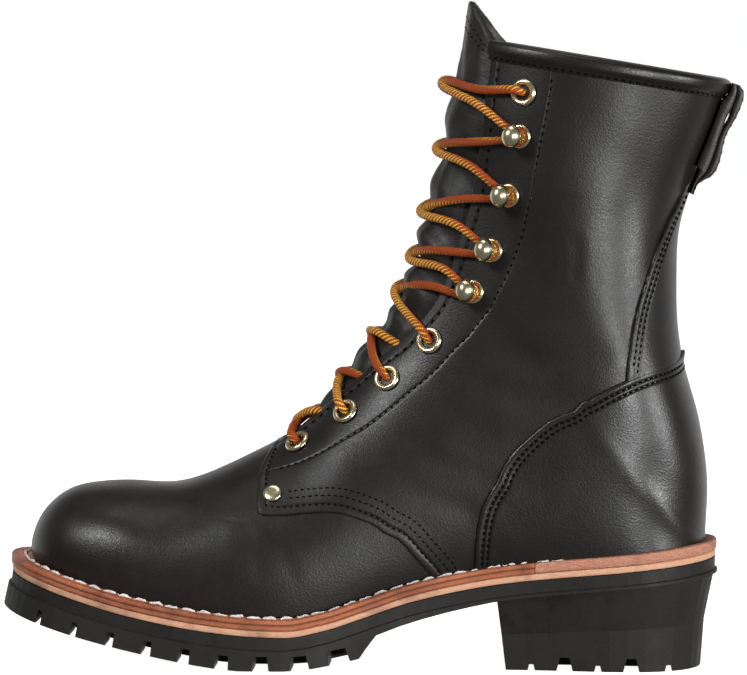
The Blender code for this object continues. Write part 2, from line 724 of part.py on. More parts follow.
def throat_edge(side, setback, u):
    """v on section u, the given distance behind the throat's edge."""
    v = THROAT_SHARE
    walked = 0.0
    last = section_point(u, side * v)
    while walked < setback:
        v += 0.002
        here = section_point(u, side * v)
        walked += (here - last).length
        last = here
    return side * v


def seated(u, v, stand, forward=None):
    """A matrix that stands on the surface: Z along its normal, X towards the throat."""
    normal = surface_normal(u, v)
    ahead = Vector((-1.0, 0.0, 0.15)) if forward is None else forward
    across = normal.cross(ahead).normalized()
    ahead = across.cross(normal).normalized()
    turned = Matrix((ahead, across, normal)).transposed().to_4x4()
    return Matrix.Translation(boot_surface(u, v, stand)) @ turned


def binding_ring(u_top, v):
    """Cross section of the collar's binding at v: a channel over the upper's edge."""
    top = section_point(u_top, v)
    up = (top - section_point(u_top - 0.5, v)).normalized()
    out = surface_normal(u_top, v)
    out = (out - up * out.dot(up)).normalized()
    wall = BINDING_WALL
    inside = -QUARTER_WALL - GAP
    profile = (
        (GAP, -BINDING_DEPTH), (GAP + wall, -BINDING_DEPTH), (GAP + wall, -EDGE_ROUND),
        (GAP + 0.4 * wall, BINDING_ROUND), (inside - 0.4 * wall, BINDING_ROUND),
        (inside - wall, -EDGE_ROUND), (inside - wall, -BINDING_DEPTH), (inside, -BINDING_DEPTH),
        (inside, GAP), (GAP, GAP),
    )
    return [top + out * a + up * b for a, b in profile]


def collar_binding(leather):
    """The rolled edge of the collar, from one side of the throat round the back to the other."""
    vs = column_values()
    outer = [v for v in vs if v <= -THROAT_SHARE + 1e-6][::-1]
    inner = [v for v in vs if v >= THROAT_SHARE - 1e-6][::-1]
    order = outer + inner[1:]
    rings = [binding_ring(COLLAR_ROW, v) for v in order]
    back = len(outer) - 1
    rings[back] = [(a + b) / 2.0 for a, b in zip(rings[back], binding_ring(COLLAR_ROW, 1.0))]
    return loft("collar_binding", rings, leather)


def back_line(z):
    """x of the boot's back at height z, on the outer form."""
    heights = ROWS[CORNER_ROW:, 1]
    return float(natural_spline(heights, ROWS[CORNER_ROW:, 0], z))


def loop_point(up, stand):
    """A point on the boot's middle line: up the loop, and off the back by stand."""
    z = ROWS[COLLAR_ROW, 1] + (up - 1.0) * LOOP_LENGTH
    ahead = Vector((back_line(z + 0.002) - back_line(z - 0.002), 0.0, 0.004)).normalized()
    return Vector((back_line(z), 0.0, z)) + Vector((ahead.z, 0.0, -ahead.x)) * stand


def pull_loop(leather):
    """The folded strap at the top of the back, with the slit between its two runs."""
    seat = GAP + OVERLAY_WALL + GAP
    half = Vector((0.0, LOOP_WIDTH / 2.0, 0.0))
    rings = []
    for up, stand in zip(LOOP_SHAPE["up"], LOOP_SHAPE["stand"]):
        base = loop_point(up, seat)
        top = loop_point(up, seat + stand * LOOP_STAND)
        rings.append([base - half, base + half, top + half, top - half])
    strap = loft("pull_loop", rings, leather)
    boolean(strap, loop_slit(seat + 0.35 * LOOP_STAND), "DIFFERENCE")
    return strap


def loop_slit(stand):
    """Cutter: the thin slit that shows through the folded strap from the side."""
    across = Vector((0.0, LOOP_WIDTH, 0.0))
    rings = []
    for up, wide in ((-0.5, 0.15), (0.0, 1.0), (0.5, 0.15)):
        middle = loop_point(SLIT_UP + up * SLIT_LENGTH / LOOP_LENGTH, stand)
        step = Vector((wide * SLIT_WIDTH / 2.0, 0.0, 0.0))
        front = middle - step
        back = middle + step
        rings.append([front - across, back - across, back + across, front + across])
    return loft("loop_slit", rings)


def station_values(count, extra=()):
    """Shares from 0 to 1, closer at both ends, with extra ones between."""
    shares = [0.5 - 0.5 * math.cos(math.pi * k / count) for k in range(count + 1)]
    return sorted(shares + list(extra))


def margins(column, outline):
    """A margin column read at each point of an outline."""
    return monotone(SOLE_MARGIN["along"], SOLE_MARGIN[column], along_of(outline[:, 0]))


def sole_outline(grow=0.0, flare=0.0):
    """The sole's plan outline: the welt's edge, grown, with a share of the flare."""
    margin = WELT_MARGIN * margins("welt", PLAN) + grow + flare * SOLE_FLARE * margins("flare", PLAN)
    return grown_plan(margin)


def side_points(outline, shares):
    """Outer and inner points of an outline at shares of its own length."""
    outer, inner = sides(outline)
    xs = outer[0, 0] + np.array(shares) * (outer[-1, 0] - outer[0, 0])
    return xs, np.interp(xs, outer[:, 0], outer[:, 1]), np.interp(xs, inner[:, 0], inner[:, 1])


def layered(name, levels, shares, made_of):
    """A sole layer: each level is an outline and a height over x; the first is the top."""
    read = []
    for outline, height in levels:
        xs, outer, inner = side_points(outline, shares)
        read.append((xs, outer, inner, height(xs)))
    rings = []
    for k in range(len(shares)):
        left = [(xs[k], outer[k], zs[k]) for xs, outer, inner, zs in read]
        right = [(xs[k], inner[k], zs[k]) for xs, outer, inner, zs in read]
        rings.append(left + right[::-1])
    return loft(name, rings, made_of)


def midsole_top(x):
    """Height of the midsole's top."""
    return seat_level(x) - WELT_THICK - GAP


def midsole_bottom(x):
    """Height of the midsole's underside."""
    return midsole_top(x) - MIDSOLE_THICK


def rubber_top(x):
    """Height of the outsole's top."""
    return midsole_bottom(x) - GAP


def strip_bottom(x):
    """Underside of the rubber strip behind the forepart."""
    breast = TOE_X + BREAST_AT * LAST_LENGTH
    forepart = TOE_X + FOREPART_END * LAST_LENGTH
    share = np.clip((np.asarray(x, float) - forepart) / (breast - forepart), 0.0, 1.0)
    return rubber_top(x) - (RUBBER_STRIP + share * (HEEL_STRIP - RUBBER_STRIP))


def tread_level(x):
    """Height of the lugs' ends, and of the arch and heel strip behind them."""
    x = np.asarray(x, float)
    lugs = TOE_SPRING * monotone(TREAD_LINE["along"], TREAD_LINE["rise"], along_of(x))
    return np.where(along_of(x) < FOREPART_END, lugs, strip_bottom(x))


def shelf_level(x):
    """Height of the small step round the rubber's side."""
    return np.maximum(rubber_top(x) - 0.55 * RUBBER_STRIP, tread_level(x) + 2.0 * EDGE_STEP)


def lug_edge_level(x):
    """Height of the lugs' outer ends, which are worn round; flat behind the forepart."""
    lift = np.where(along_of(x) < FOREPART_END, LUG_EDGE_LIFT, 0.0)
    return tread_level(x) + lift


def insole_seat(x):
    """Height at which the insole's rim rests on the welt."""
    return seat_level(x) + GAP


def insole_top(x):
    """Height of the insole's top."""
    return insole_seat(x) + INSOLE_THICK


def insole(board):
    """The insole, with its lower step inside the welt."""
    wide = grown_plan(-(QUARTER_WALL + INSOLE_GAP))
    narrow = grown_plan(-(WELT_INNER + GAP))
    levels = (
        (wide, insole_top), (wide, insole_seat), (narrow, insole_seat),
        (narrow, lambda x: midsole_top(x) + GAP),
    )
    return layered("insole", levels, station_values(SOLE_STATIONS // 2), board)


def midsole(leather):
    """The midsole, a full layer under the welt."""
    outline = sole_outline(-EDGE_STEP)
    levels = ((outline, midsole_top), (outline, midsole_bottom))
    return layered("midsole", levels, station_values(SOLE_STATIONS), leather)


def welt_path(start, stop, outline, inside, forward):
    """Pairs of outer and inner points of the welt between two shares, through toe or heel."""
    outer_side, inner_side = sides(outline)
    outer_hole, inner_hole = sides(inside)
    shares = np.array([s for s in station_values(SOLE_STATIONS) if start < s < stop])
    shares = np.sort(np.unique(np.clip(np.append(shares, (start, stop)), 0.0, 1.0)))
    pairs = []
    for edge, hole, order in ((outer_side, outer_hole, -1), (inner_side, inner_hole, 1)):
        xs = edge[0, 0] + shares * (edge[-1, 0] - edge[0, 0])
        hs = hole[0, 0] + shares * (hole[-1, 0] - hole[0, 0])
        ys = np.interp(xs, edge[:, 0], edge[:, 1])
        row = list(zip(xs, ys, hs, np.interp(hs, hole[:, 0], hole[:, 1])))
        pairs.append(row[::-1] if (order < 0) == forward else row)
    return pairs[0] + pairs[1][1:]


def strip_ring(name, start, stop, made_of):
    """A strip round the sole's edge on top of the midsole, between two shares of the length."""
    path = welt_path(start, stop, sole_outline(), grown_plan(-WELT_INNER), start <= 0.0)
    rings = []
    for x, y, hx, hy in path:
        edge = Vector((hx - x, hy - y)).normalized() * EDGE_ROUND
        high = float(seat_level(x))
        hole_high = float(seat_level(hx))
        low = float(midsole_top(x)) + GAP
        hole_low = float(midsole_top(hx)) + GAP
        rings.append([
            (x, y, low), (x, y, high - EDGE_ROUND), (x + edge.x, y + edge.y, high),
            (hx, hy, hole_high), (hx, hy, hole_low),
        ])
    return loft(name, rings, made_of)


def tapered_bar(centre, slope, length, width, mouth, height):
    """Eight corners of a bar across the boot, wider at its mouth below."""
    turned = Matrix.Translation(centre) @ Matrix.Rotation(slope, 4, "Y")
    corners = []
    for level, half in ((0.0, width / 2.0), (-height, mouth / 2.0)):
        for side in (-1.0, 1.0):
            for end in (-1.0, 1.0):
                corners.append(turned @ Vector((end * half, side * length / 2.0, level)))
    return corners


def bars(name, corner_sets):
    """A cutter of separate bars."""
    bm = bmesh.new()
    for corners in corner_sets:
        made = bmesh.ops.create_cube(bm, size=1.0)["verts"]
        for vert, key in zip(made, [(v.co.x, v.co.y, v.co.z) for v in made]):
            index = (0 if key[2] > 0.0 else 4) + (0 if key[1] < 0.0 else 2) + (0 if key[0] < 0.0 else 1)
            vert.co = corners[index]
    bmesh.ops.recalc_face_normals(bm, faces=bm.faces)
    return add_object(name, mesh_from(bm, name))


def groove_stations():
    """x, width and slope of each groove between the forepart's lugs."""
    start = sides(sole_outline())[0][0, 0]
    found = []
    for k in range(GROOVE_COUNT):
        x = start + GROOVE_FIRST + k * GROOVE_PITCH
        share = (k / (GROOVE_COUNT - 1)) ** 1.3
        slope = -math.atan2(float(tread_level(x + 0.002) - tread_level(x - 0.002)), 0.004)
        found.append((x, GROOVE_NARROW + share * (GROOVE_WIDE - GROOVE_NARROW), slope))
    return found


def side_grooves():
    """Cutter: the grooves between the lugs along both sides of the forepart."""
    reach = 2.0 * (CHANNEL_INSET + 0.02)
    sets = []
    outline = sole_outline()
    for x, width, slope in groove_stations():
        _, outer, inner = side_points(outline, [along_share(x, outline)])
        high = float(tread_level(x)) + LUG_DEPTH
        for edge, side in ((outer[0], -1.0), (inner[0], 1.0)):
            centre = Vector((x, edge - side * (CHANNEL_INSET - reach / 2.0), high))
            sets.append(tapered_bar(centre, slope, reach, width, width * 1.5, LUG_DEPTH * 1.6))
    return bars("side_grooves", sets)


def along_share(x, outline):
    """Share of an outline's own length at x."""
    return (x - outline[:, 0].min()) / (outline[:, 0].max() - outline[:, 0].min())


def centre_grooves():
    """Cutter: the grooves across the middle lugs, half a pitch behind the side ones."""
    sets = []
    outline = sole_outline()
    for x, width, slope in groove_stations()[1:-1]:
        x += GROOVE_PITCH / 2.0
        _, outer, inner = side_points(outline, [along_share(x, outline)])
        length = inner[0] - outer[0] - 2.0 * CHANNEL_INSET
        if length > CHANNEL_WIDTH:
            centre = Vector((x, (inner[0] + outer[0]) / 2.0, float(tread_level(x)) + LUG_DEPTH))
            mouth = 1.4 * CHANNEL_WIDTH
            sets.append(tapered_bar(centre, slope, length, CHANNEL_WIDTH, mouth, 1.6 * LUG_DEPTH))
    return bars("centre_grooves", sets)


def channel(side):
    """Cutter: the long groove between the side lugs and the middle ones."""
    outline = sole_outline()
    start = groove_stations()[0][0]
    stop = TOE_X + (FOREPART_END + 0.02) * LAST_LENGTH
    rings = []
    for x in np.linspace(start, stop, 14):
        _, outer, inner = side_points(outline, [along_share(x, outline)])
        edge = outer[0] + CHANNEL_INSET if side < 0 else inner[0] - CHANNEL_INSET
        lugs = TOE_SPRING * float(monotone(TREAD_LINE["along"], TREAD_LINE["rise"], along_of(x)))
        high = lugs + LUG_DEPTH - EDGE_STEP
        half = CHANNEL_WIDTH / 2.0
        low = lugs - 0.6 * LUG_DEPTH
        rings.append([
            (x, edge - half, high), (x, edge + half, high), (x, edge + 1.4 * half, low),
            (x, edge - 1.4 * half, low),
        ])
    return loft("channel_outer" if side < 0 else "channel_inner", rings)


def outsole(rubber):
    """The outsole: lugged forepart, arch and the strip through the heel."""
    end = along_share(TOE_X + FOREPART_END * LAST_LENGTH, sole_outline())
    shares = station_values(SOLE_STATIONS, (end - LUG_REAR / LAST_LENGTH, end))
    levels = (
        (sole_outline(-EDGE_STEP), rubber_top), (sole_outline(-EDGE_STEP, 0.2), shelf_level),
        (sole_outline(EDGE_STEP, 0.3), lambda x: shelf_level(x) - EDGE_STEP),
        (sole_outline(EDGE_STEP, 1.0), lug_edge_level), (sole_outline(-LUG_CHAMFER, 1.0), tread_level),
    )
    thing = layered("outsole", levels, shares, rubber)
    for cutter in (side_grooves(), centre_grooves(), channel(-1), channel(1)):
        boolean(thing, cutter, "DIFFERENCE")
    return thing


def heel_notches(breast, back):
    """Cutter: the notches between the heel's lugs, wide ones and small ones."""
    run = back - breast
    outline = sole_outline(-HEEL_TAPER)
    reach = 2.0 * NOTCH_REACH
    sets = []
    for share, width, depth in zip(*(HEEL_NOTCHES[c] for c in ("share", "width", "depth"))):
        x = breast + share * run
        wide = width * NOTCH_WIDTH
        deep = depth * NOTCH_DEPTH
        _, outer, inner = side_points(outline, [along_share(x, outline)])
        for edge, side in ((outer[0], -1.0), (inner[0], 1.0)):
            centre = Vector((x, edge - side * (NOTCH_REACH - reach / 2.0), deep))
            sets.append(tapered_bar(centre, 0.0, reach, wide, 2.0 * wide, 1.4 * deep))
    return bars("heel_notches", sets)


def heel(rubber):
    """The heel block, with a slanted breast and tapering sides."""
    levels = (
        (sole_outline(-HEEL_TOP_INSET), lambda x: strip_bottom(x) - GAP, 0.0),
        (sole_outline(-0.8 * HEEL_TAPER), lambda x: 0.5 * strip_bottom(x), 0.5 * BREAST_LEAN),
        (sole_outline(-HEEL_TAPER), lambda x: np.zeros(len(x)), BREAST_LEAN),
    )
    breast = TOE_X + BREAST_AT * LAST_LENGTH
    rings = []
    shares = [math.sin(0.5 * math.pi * k / 14.0) for k in range(15)]
    read = []
    for outline, height, lean in levels:
        start = along_share(breast + lean, outline)
        xs, outer, inner = side_points(outline, [start + s * (1.0 - start) for s in shares])
        read.append((xs, outer, inner, height(xs)))
    for k in range(len(shares)):
        left = [(xs[k], outer[k], zs[k]) for xs, outer, inner, zs in read]
        right = [(xs[k], inner[k], zs[k]) for xs, outer, inner, zs in read]
        rings.append(left + right[::-1])
    thing = loft("heel", rings, rubber)
    boolean(thing, heel_notches(breast + BREAST_LEAN, read[2][0][-1]), "DIFFERENCE")
    return thing


def turned_mesh(name, profile):
    """A closed turned solid from a profile of radius and height, as a mesh."""
    bm = bmesh.new()
    grid = []
    for k in range(HARDWARE_SIDES):
        turn = 2.0 * math.pi * k / HARDWARE_SIDES
        grid.append([bm.verts.new((r * math.cos(turn), r * math.sin(turn), z)) for r, z in profile])
    for k in range(HARDWARE_SIDES):
        ahead = grid[(k + 1) % HARDWARE_SIDES]
        for j in range(len(profile)):
            nxt = (j + 1) % len(profile)
            bm.faces.new((grid[k][j], ahead[j], ahead[nxt], grid[k][nxt]))
    bmesh.ops.remove_doubles(bm, verts=bm.verts, dist=1e-6)
    bmesh.ops.recalc_face_normals(bm, faces=bm.faces)
    mesh = mesh_from(bm, name)
    mesh.shade_smooth()
    return mesh


def eyelet_mesh(brass):
    """An eyelet: a rolled rim outside and a barrel through the wall."""
    profile = (
        (EYELET_BORE, 0.7 * EYELET_RIM), (0.5 * (EYELET_BORE + EYELET_RADIUS), EYELET_RIM),
        (EYELET_RADIUS, 0.0), (EYELET_BARREL, 0.0), (EYELET_BARREL, -QUARTER_WALL),
        (EYELET_BORE, -QUARTER_WALL),
    )
    mesh = turned_mesh("eyelet", profile)
    mesh.materials.append(brass)
    return mesh


def hook_mesh(brass):
    """A speed hook: a round base, and a ball that leans forward on its neck."""
    parts = []
    for name in ("hook_base", "hook_ball", "hook_neck"):
        bm = bmesh.new()
        if name == "hook_ball":
            bmesh.ops.create_uvsphere(bm, u_segments=8, v_segments=5, radius=HOOK_BALL_RADIUS)
            bmesh.ops.translate(bm, verts=bm.verts, vec=(HOOK_FORWARD, 0.0, HOOK_STAND))
        elif name == "hook_base":
            bmesh.ops.create_cone(bm, cap_ends=True, segments=HARDWARE_SIDES, radius1=HOOK_BASE_RADIUS,
                                  radius2=0.86 * HOOK_BASE_RADIUS, depth=EYELET_RIM)
            bmesh.ops.translate(bm, verts=bm.verts, vec=(0.0, 0.0, 0.5 * EYELET_RIM))
        else:
            bmesh.ops.create_cone(bm, cap_ends=True, segments=6, radius1=HOOK_NECK_RADIUS,
                                  radius2=HOOK_NECK_RADIUS, depth=HOOK_STAND - 0.5 * EYELET_RIM)
            bmesh.ops.translate(bm, verts=bm.verts, vec=(0.4 * HOOK_FORWARD, 0.0, 0.5 * HOOK_STAND))
        parts.append(add_object(name, mesh_from(bm, name)))
    for other in parts[1:]:
        boolean(parts[0], other, "UNION")
    applied(parts[0])
    mesh = parts[0].data
    for part in parts:
        bpy.data.objects.remove(part)
    mesh.name = "hook"
    mesh.materials.clear()
    mesh.materials.append(brass)
    return mesh


def rivet_mesh(brass):
    """A flat domed rivet."""
    profile = (
        (0.0, 0.0), (RIVET_RADIUS, 0.0), (RIVET_RADIUS, 0.35 * EYELET_RIM),
        (0.7 * RIVET_RADIUS, EYELET_RIM), (0.0, 1.15 * EYELET_RIM),
    )
    mesh = turned_mesh("rivet", profile)
    mesh.materials.append(brass)
    return mesh


def place(name, mesh, matrix):
    """A piece of hardware on the surface."""
    thing = bpy.data.objects.new(name, mesh)
    thing.matrix_world = matrix
    collection(PARTS).objects.link(thing)
    return thing


def facing_places(kind, table):
    """Name, section and v of each eyelet or hook, on both sides."""
    found = []
    for side, word in ((-1.0, "outer"), (1.0, "inner")):
        for k, (u, setback) in enumerate(zip(table["section"], table["setback"])):
            v = throat_edge(side, setback * FACING_SETBACK, u)
            found.append((f"{kind}_{word}_{k + 1}", u, v))
    return found


def hardware(brass, wall):
    """Eyelets in their holes, and hooks on the facings."""
    eyelet = eyelet_mesh(brass)
    hook = hook_mesh(brass)
    hole = EYELET_BARREL + HOLE_CLEARANCE
    bm = bmesh.new()
    for name, u, v in facing_places("eyelet", EYELET_PLACES):
        matrix = seated(u, v, SEAT_GAP)
        place(name, eyelet, matrix)
        made = bmesh.ops.create_cone(bm, cap_ends=True, segments=HARDWARE_SIDES, radius1=hole,
                                     radius2=hole, depth=4.0 * QUARTER_WALL)
        bmesh.ops.transform(bm, matrix=matrix, verts=made["verts"])
    for name, u, v in facing_places("hook", HOOK_PLACES):
        place(name, hook, seated(u, v, SEAT_GAP))
    holes = add_object("eyelet_holes", mesh_from(bm, "eyelet_holes"))
    boolean(wall, holes, "DIFFERENCE")


def nearest_v(u_range, side, x, z):
    """Section and v of the surface point seen at x, z from one side."""
    found = []
    for u in np.arange(u_range[0], u_range[1], 0.1):
        for v in np.arange(0.2, 0.95, 0.01):
            point = section_point(u, side * v)
            found.append((math.hypot(point.x - x, point.z - z), u, side * v))
    return min(found)[1:]


def rivets(brass):
    """The rivet at the front corner of each quarter."""
    x = TOE_X + RIVET_ALONG * LAST_LENGTH
    z = float(seat_level(x)) + RIVET_UP * INSTEP_HEIGHT
    mesh = rivet_mesh(brass)
    for side, word in ((-1.0, "outer"), (1.0, "inner")):
        u, v = nearest_v((9.0, 15.0), side, x, z)
        place(f"rivet_{word}", mesh, seated(u, v, SEAT_GAP))


def lace_tube(name, points, cord):
    """One run of lace as a closed mesh."""
    curve = bpy.data.curves.new(name, "CURVE")
    curve.dimensions = "3D"
    curve.bevel_depth = LACE_RADIUS
    curve.bevel_resolution = 2
    curve.use_fill_caps = True
    spline = curve.splines.new("POLY")
    spline.points.add(len(points) - 1)
    for target, point in zip(spline.points, points):
        target.co = (*point, 1.0)
    guide = bpy.data.objects.new(name, curve)
    collection(PARTS).objects.link(guide)
    depsgraph = bpy.context.evaluated_depsgraph_get()
    mesh = bpy.data.meshes.new_from_object(guide.evaluated_get(depsgraph))
    bpy.data.objects.remove(guide)
    bm = bmesh.new()
    bm.from_mesh(mesh)
    bmesh.ops.remove_doubles(bm, verts=bm.verts, dist=1e-6)
    bmesh.ops.recalc_face_normals(bm, faces=bm.faces)
    return add_object(name, mesh_from(bm, name), cord)


def lace_run(stops, steps):
    """Points of a lace over the boot: stops are section, v and height over the surface."""
    keys = np.linspace(0.0, 1.0, len(stops))
    at = np.linspace(0.0, 1.0, steps)
    columns = [natural_spline(keys, [stop[c] for stop in stops], at) for c in range(3)]
    return [boot_surface(u, v, height) for u, v, height in zip(*columns)]


def lace_stops(start, middle, end, over):
    """A crossing's stops from one side, over the tongue's front, to the other side."""
    low = LACE_RADIUS + LACE_LIFT
    half = []
    for u, v in (start, end):
        half.append([(u, v, low), (u + 0.42 * (middle - u), math.copysign(THROAT_SHARE, v), low)])
    return half[0] + [(middle, 0.0, over)] + half[1][::-1]


def lace_ends():
    """Section and distance from the throat of each place that the crossings run to, top first."""
    sections = (EYELET_PLACES["section"][-1], *HOOK_PLACES["section"][::-1], EYELET_PLACES["section"][-2])
    setbacks = (EYELET_PLACES["setback"][-1], *HOOK_PLACES["setback"][::-1], EYELET_PLACES["setback"][-2])
    return [(u, max(share * FACING_SETBACK - LACE_REACH, 0.0)) for u, share in zip(sections, setbacks)]


def lace(cord):
    """The lace's crossings between the hooks, and its bars between the lower eyelets."""
    ends = lace_ends()
    for k, (middle, height) in enumerate(zip(CROSSINGS["section"], CROSSINGS["height"])):
        upper_end, lower_end = ends[k], ends[k + 1]
        runs = []
        for side in (-1.0, 1.0):
            start = (upper_end[0] - END_SHIFT, throat_edge(side, upper_end[1], upper_end[0]))
            end = (lower_end[0] + END_SHIFT, throat_edge(-side, lower_end[1], lower_end[0]))
            over = LACE_RADIUS * (1.0 + height + (CROSSING_STEP if side > 0.0 else 0.0))
            name = f"lace_crossing_{k + 1}" + ("" if side < 0.0 else "_run")
            runs.append(lace_tube(name, lace_run(lace_stops(start, middle, end, over), 9), cord))
        boolean(runs[0], runs[1], "UNION")
        applied(runs[0])
        bpy.data.objects.remove(runs[1])
    low = LACE_RADIUS + BAR_LIFT
    reach = BAR_REACH * THROAT_SHARE
    for k, middle in enumerate(LOWER_BARS):
        end = middle - 0.15
        stops = [(end, -reach, low), (middle + 0.1, 0.0, BAR_ARCH * low), (end, reach, low)]
        lace_tube(f"lace_bar_{k + 1}", lace_run(stops, 5), cord)


def smooth_shading():
    """Shade the curved pieces smooth, with their real edges kept."""
    for thing in collection(PARTS).objects:
        thing.data.shade_smooth()
        thing.data.set_sharp_from_angle(angle=math.radians(40.0))


def main():
    """Build the boot."""
    for old in list(bpy.data.objects):
        bpy.data.objects.remove(old)
    black = material("black_leather", (0.030, 0.027, 0.026), 0.42)
    soft_black = material("tongue_leather", (0.028, 0.025, 0.024), 0.50)
    overlay_black = material("overlay_leather", (0.032, 0.029, 0.028), 0.40)
    rubber = material("black_rubber", (0.025, 0.023, 0.022), 0.75)
    brown = material("welt_leather", (0.235, 0.070, 0.030), 0.60)
    tan = material("midsole_leather", (0.500, 0.240, 0.160), 0.70)
    board = material("insole_board", (0.240, 0.130, 0.080), 0.85)
    brass = material("brass", (0.760, 0.620, 0.330), 0.25, 1.0)
    cord = material("lace_cord", (0.450, 0.120, 0.030), 0.80)
    block = sole_block()
    wall = upper(black, block)
    hardware(brass, wall)
    tongue(soft_black)
    counter(overlay_black, block)
    backstay(overlay_black)
    collar_binding(overlay_black)
    pull_loop(overlay_black)
    insole(board)
    joint = RAND_AT + GAP / LAST_LENGTH
    strip_ring("welt", 0.0, RAND_AT, brown)
    strip_ring("heel_rand", joint, 1.0, tan)
    midsole(tan)
    outsole(rubber)
    heel(rubber)
    rivets(brass)
    lace(cord)
    smooth_shading()


main()
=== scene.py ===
"""Logger boot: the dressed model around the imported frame.

The boot stands with its toe towards -X, its outer side towards -Y and +Z up, in metres. Every
leather piece lies on one form, a fan of flat sections that repeats the sizes of the part's source.
"""

import math

import bmesh
import bpy
import numpy as np
from mathutils import Matrix, Vector, kdtree


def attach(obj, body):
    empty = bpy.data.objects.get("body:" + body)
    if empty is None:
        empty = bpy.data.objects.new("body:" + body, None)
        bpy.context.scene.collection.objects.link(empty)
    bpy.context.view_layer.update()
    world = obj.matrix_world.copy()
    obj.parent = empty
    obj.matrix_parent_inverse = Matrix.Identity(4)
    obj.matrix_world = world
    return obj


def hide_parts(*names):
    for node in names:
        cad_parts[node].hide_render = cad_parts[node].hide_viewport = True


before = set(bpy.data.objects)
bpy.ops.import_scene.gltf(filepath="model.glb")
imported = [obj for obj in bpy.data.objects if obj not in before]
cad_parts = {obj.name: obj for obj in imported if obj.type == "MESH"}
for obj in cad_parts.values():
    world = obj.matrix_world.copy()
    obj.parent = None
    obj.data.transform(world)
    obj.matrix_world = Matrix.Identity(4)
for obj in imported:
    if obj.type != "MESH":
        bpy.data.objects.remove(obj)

bl_info = {
    "name": "Logger Boot",
    "version": (1, 0, 0),
    "blender": (4, 5, 0),
    "location": "View3D > Sidebar > Boot",
    "description": "Builds a laced leather logger boot on a lugged sole",
    "category": "Object",
}

MM = 0.001
OUTER = -1.0
INNER = 1.0

# Sizes of the form

LAST_LENGTH = 0.2894
BALL_WIDTH = 0.094
INSTEP_HEIGHT = 0.072
SHAFT_HEIGHT = 0.2125
SHAFT_WIDTH = 0.0844
FORE_STACK = 0.022
TOE_SPRING = 0.024
HEEL_RISE = 0.033
BACK_SHIFT = 0.0012
GAP = 0.0003
QUARTER_WALL = 0.0030
VAMP_STEP = 0.0012
OVERLAY_WALL = 0.0016
TONGUE_WALL = 0.0030
TONGUE_GAP = 0.0005
WELT_THICK = 0.0043
MIDSOLE_THICK = 0.0027
WELT_MARGIN = 0.0095
WELT_INNER = 0.0070
SKIRT = 0.0050
EYELET_RADIUS = 0.0057
EYELET_BORE = 0.0030
EYELET_RIM = 0.0012
EYELET_BARREL = 0.0033
HOOK_BASE_RADIUS = 0.0051
HOOK_BALL_RADIUS = 0.0038
HOOK_STAND = 0.0058
HOOK_FORWARD = 0.0013
HOOK_NECK_FORWARD = 0.0031
HOOK_BALL_TALL = 1.2
RIVET_RADIUS = 0.0040
SEAT_GAP = 0.0005
FACING_SETBACK = 0.0195
BINDING_DEPTH = 0.0075
BINDING_WALL = 0.0013
LOOP_WIDTH = 0.0220
LOOP_LENGTH = 0.0480
LOOP_STAND = 0.0066
RAND_AT = 0.7460

LOOP_SHAPE = {
    "up": (0.02, 0.14, 0.21, 0.29, 0.40, 0.52, 0.60, 0.68, 0.78, 0.90, 0.97, 1.01),
    "stand": (0.20, 0.30, 0.75, 0.95, 0.90, 0.74, 0.72, 0.82, 0.93, 0.94, 0.75, 0.40),
}
TOE_SIDE_SHIFT = 0.043
LAST_PLAN = {
    "along": (0.012, 0.036, 0.070, 0.126, 0.212, 0.299, 0.375, 0.471, 0.575, 0.679, 0.782, 0.879,
              0.941, 0.979),
    "outer": (0.144, 0.277, 0.367, 0.441, 0.493, 0.510, 0.502, 0.445, 0.378, 0.343, 0.340, 0.345,
              0.301, 0.202),
    "inner": (0.223, 0.335, 0.415, 0.468, 0.489, 0.479, 0.431, 0.351, 0.298, 0.290, 0.321, 0.338,
              0.301, 0.207),
}
SEAT_LINE = {
    "along": (-0.050, 0.007, 0.060, 0.167, 0.274, 0.350, 0.392, 0.447, 0.506, 0.570, 0.640, 0.710,
              0.780, 0.890, 1.030),
    "toe": (0.92, 0.775, 0.610, 0.302, 0.092, 0.012, 0.0, 0.0, 0.0, 0.0, 0.0, 0.0, 0.0, 0.0, 0.0),
    "heel": (0.0, 0.0, 0.0, 0.0, 0.0, 0.0, 0.0, 0.082, 0.245, 0.433, 0.580, 0.690, 0.765, 0.864,
             1.0),
}
SOLE_MARGIN = {
    "along": (-0.05, 0.10, 0.35, 0.60, 0.80, 1.05),
    "welt": (1.00, 0.98, 0.95, 0.75, 0.68, 0.68),
}
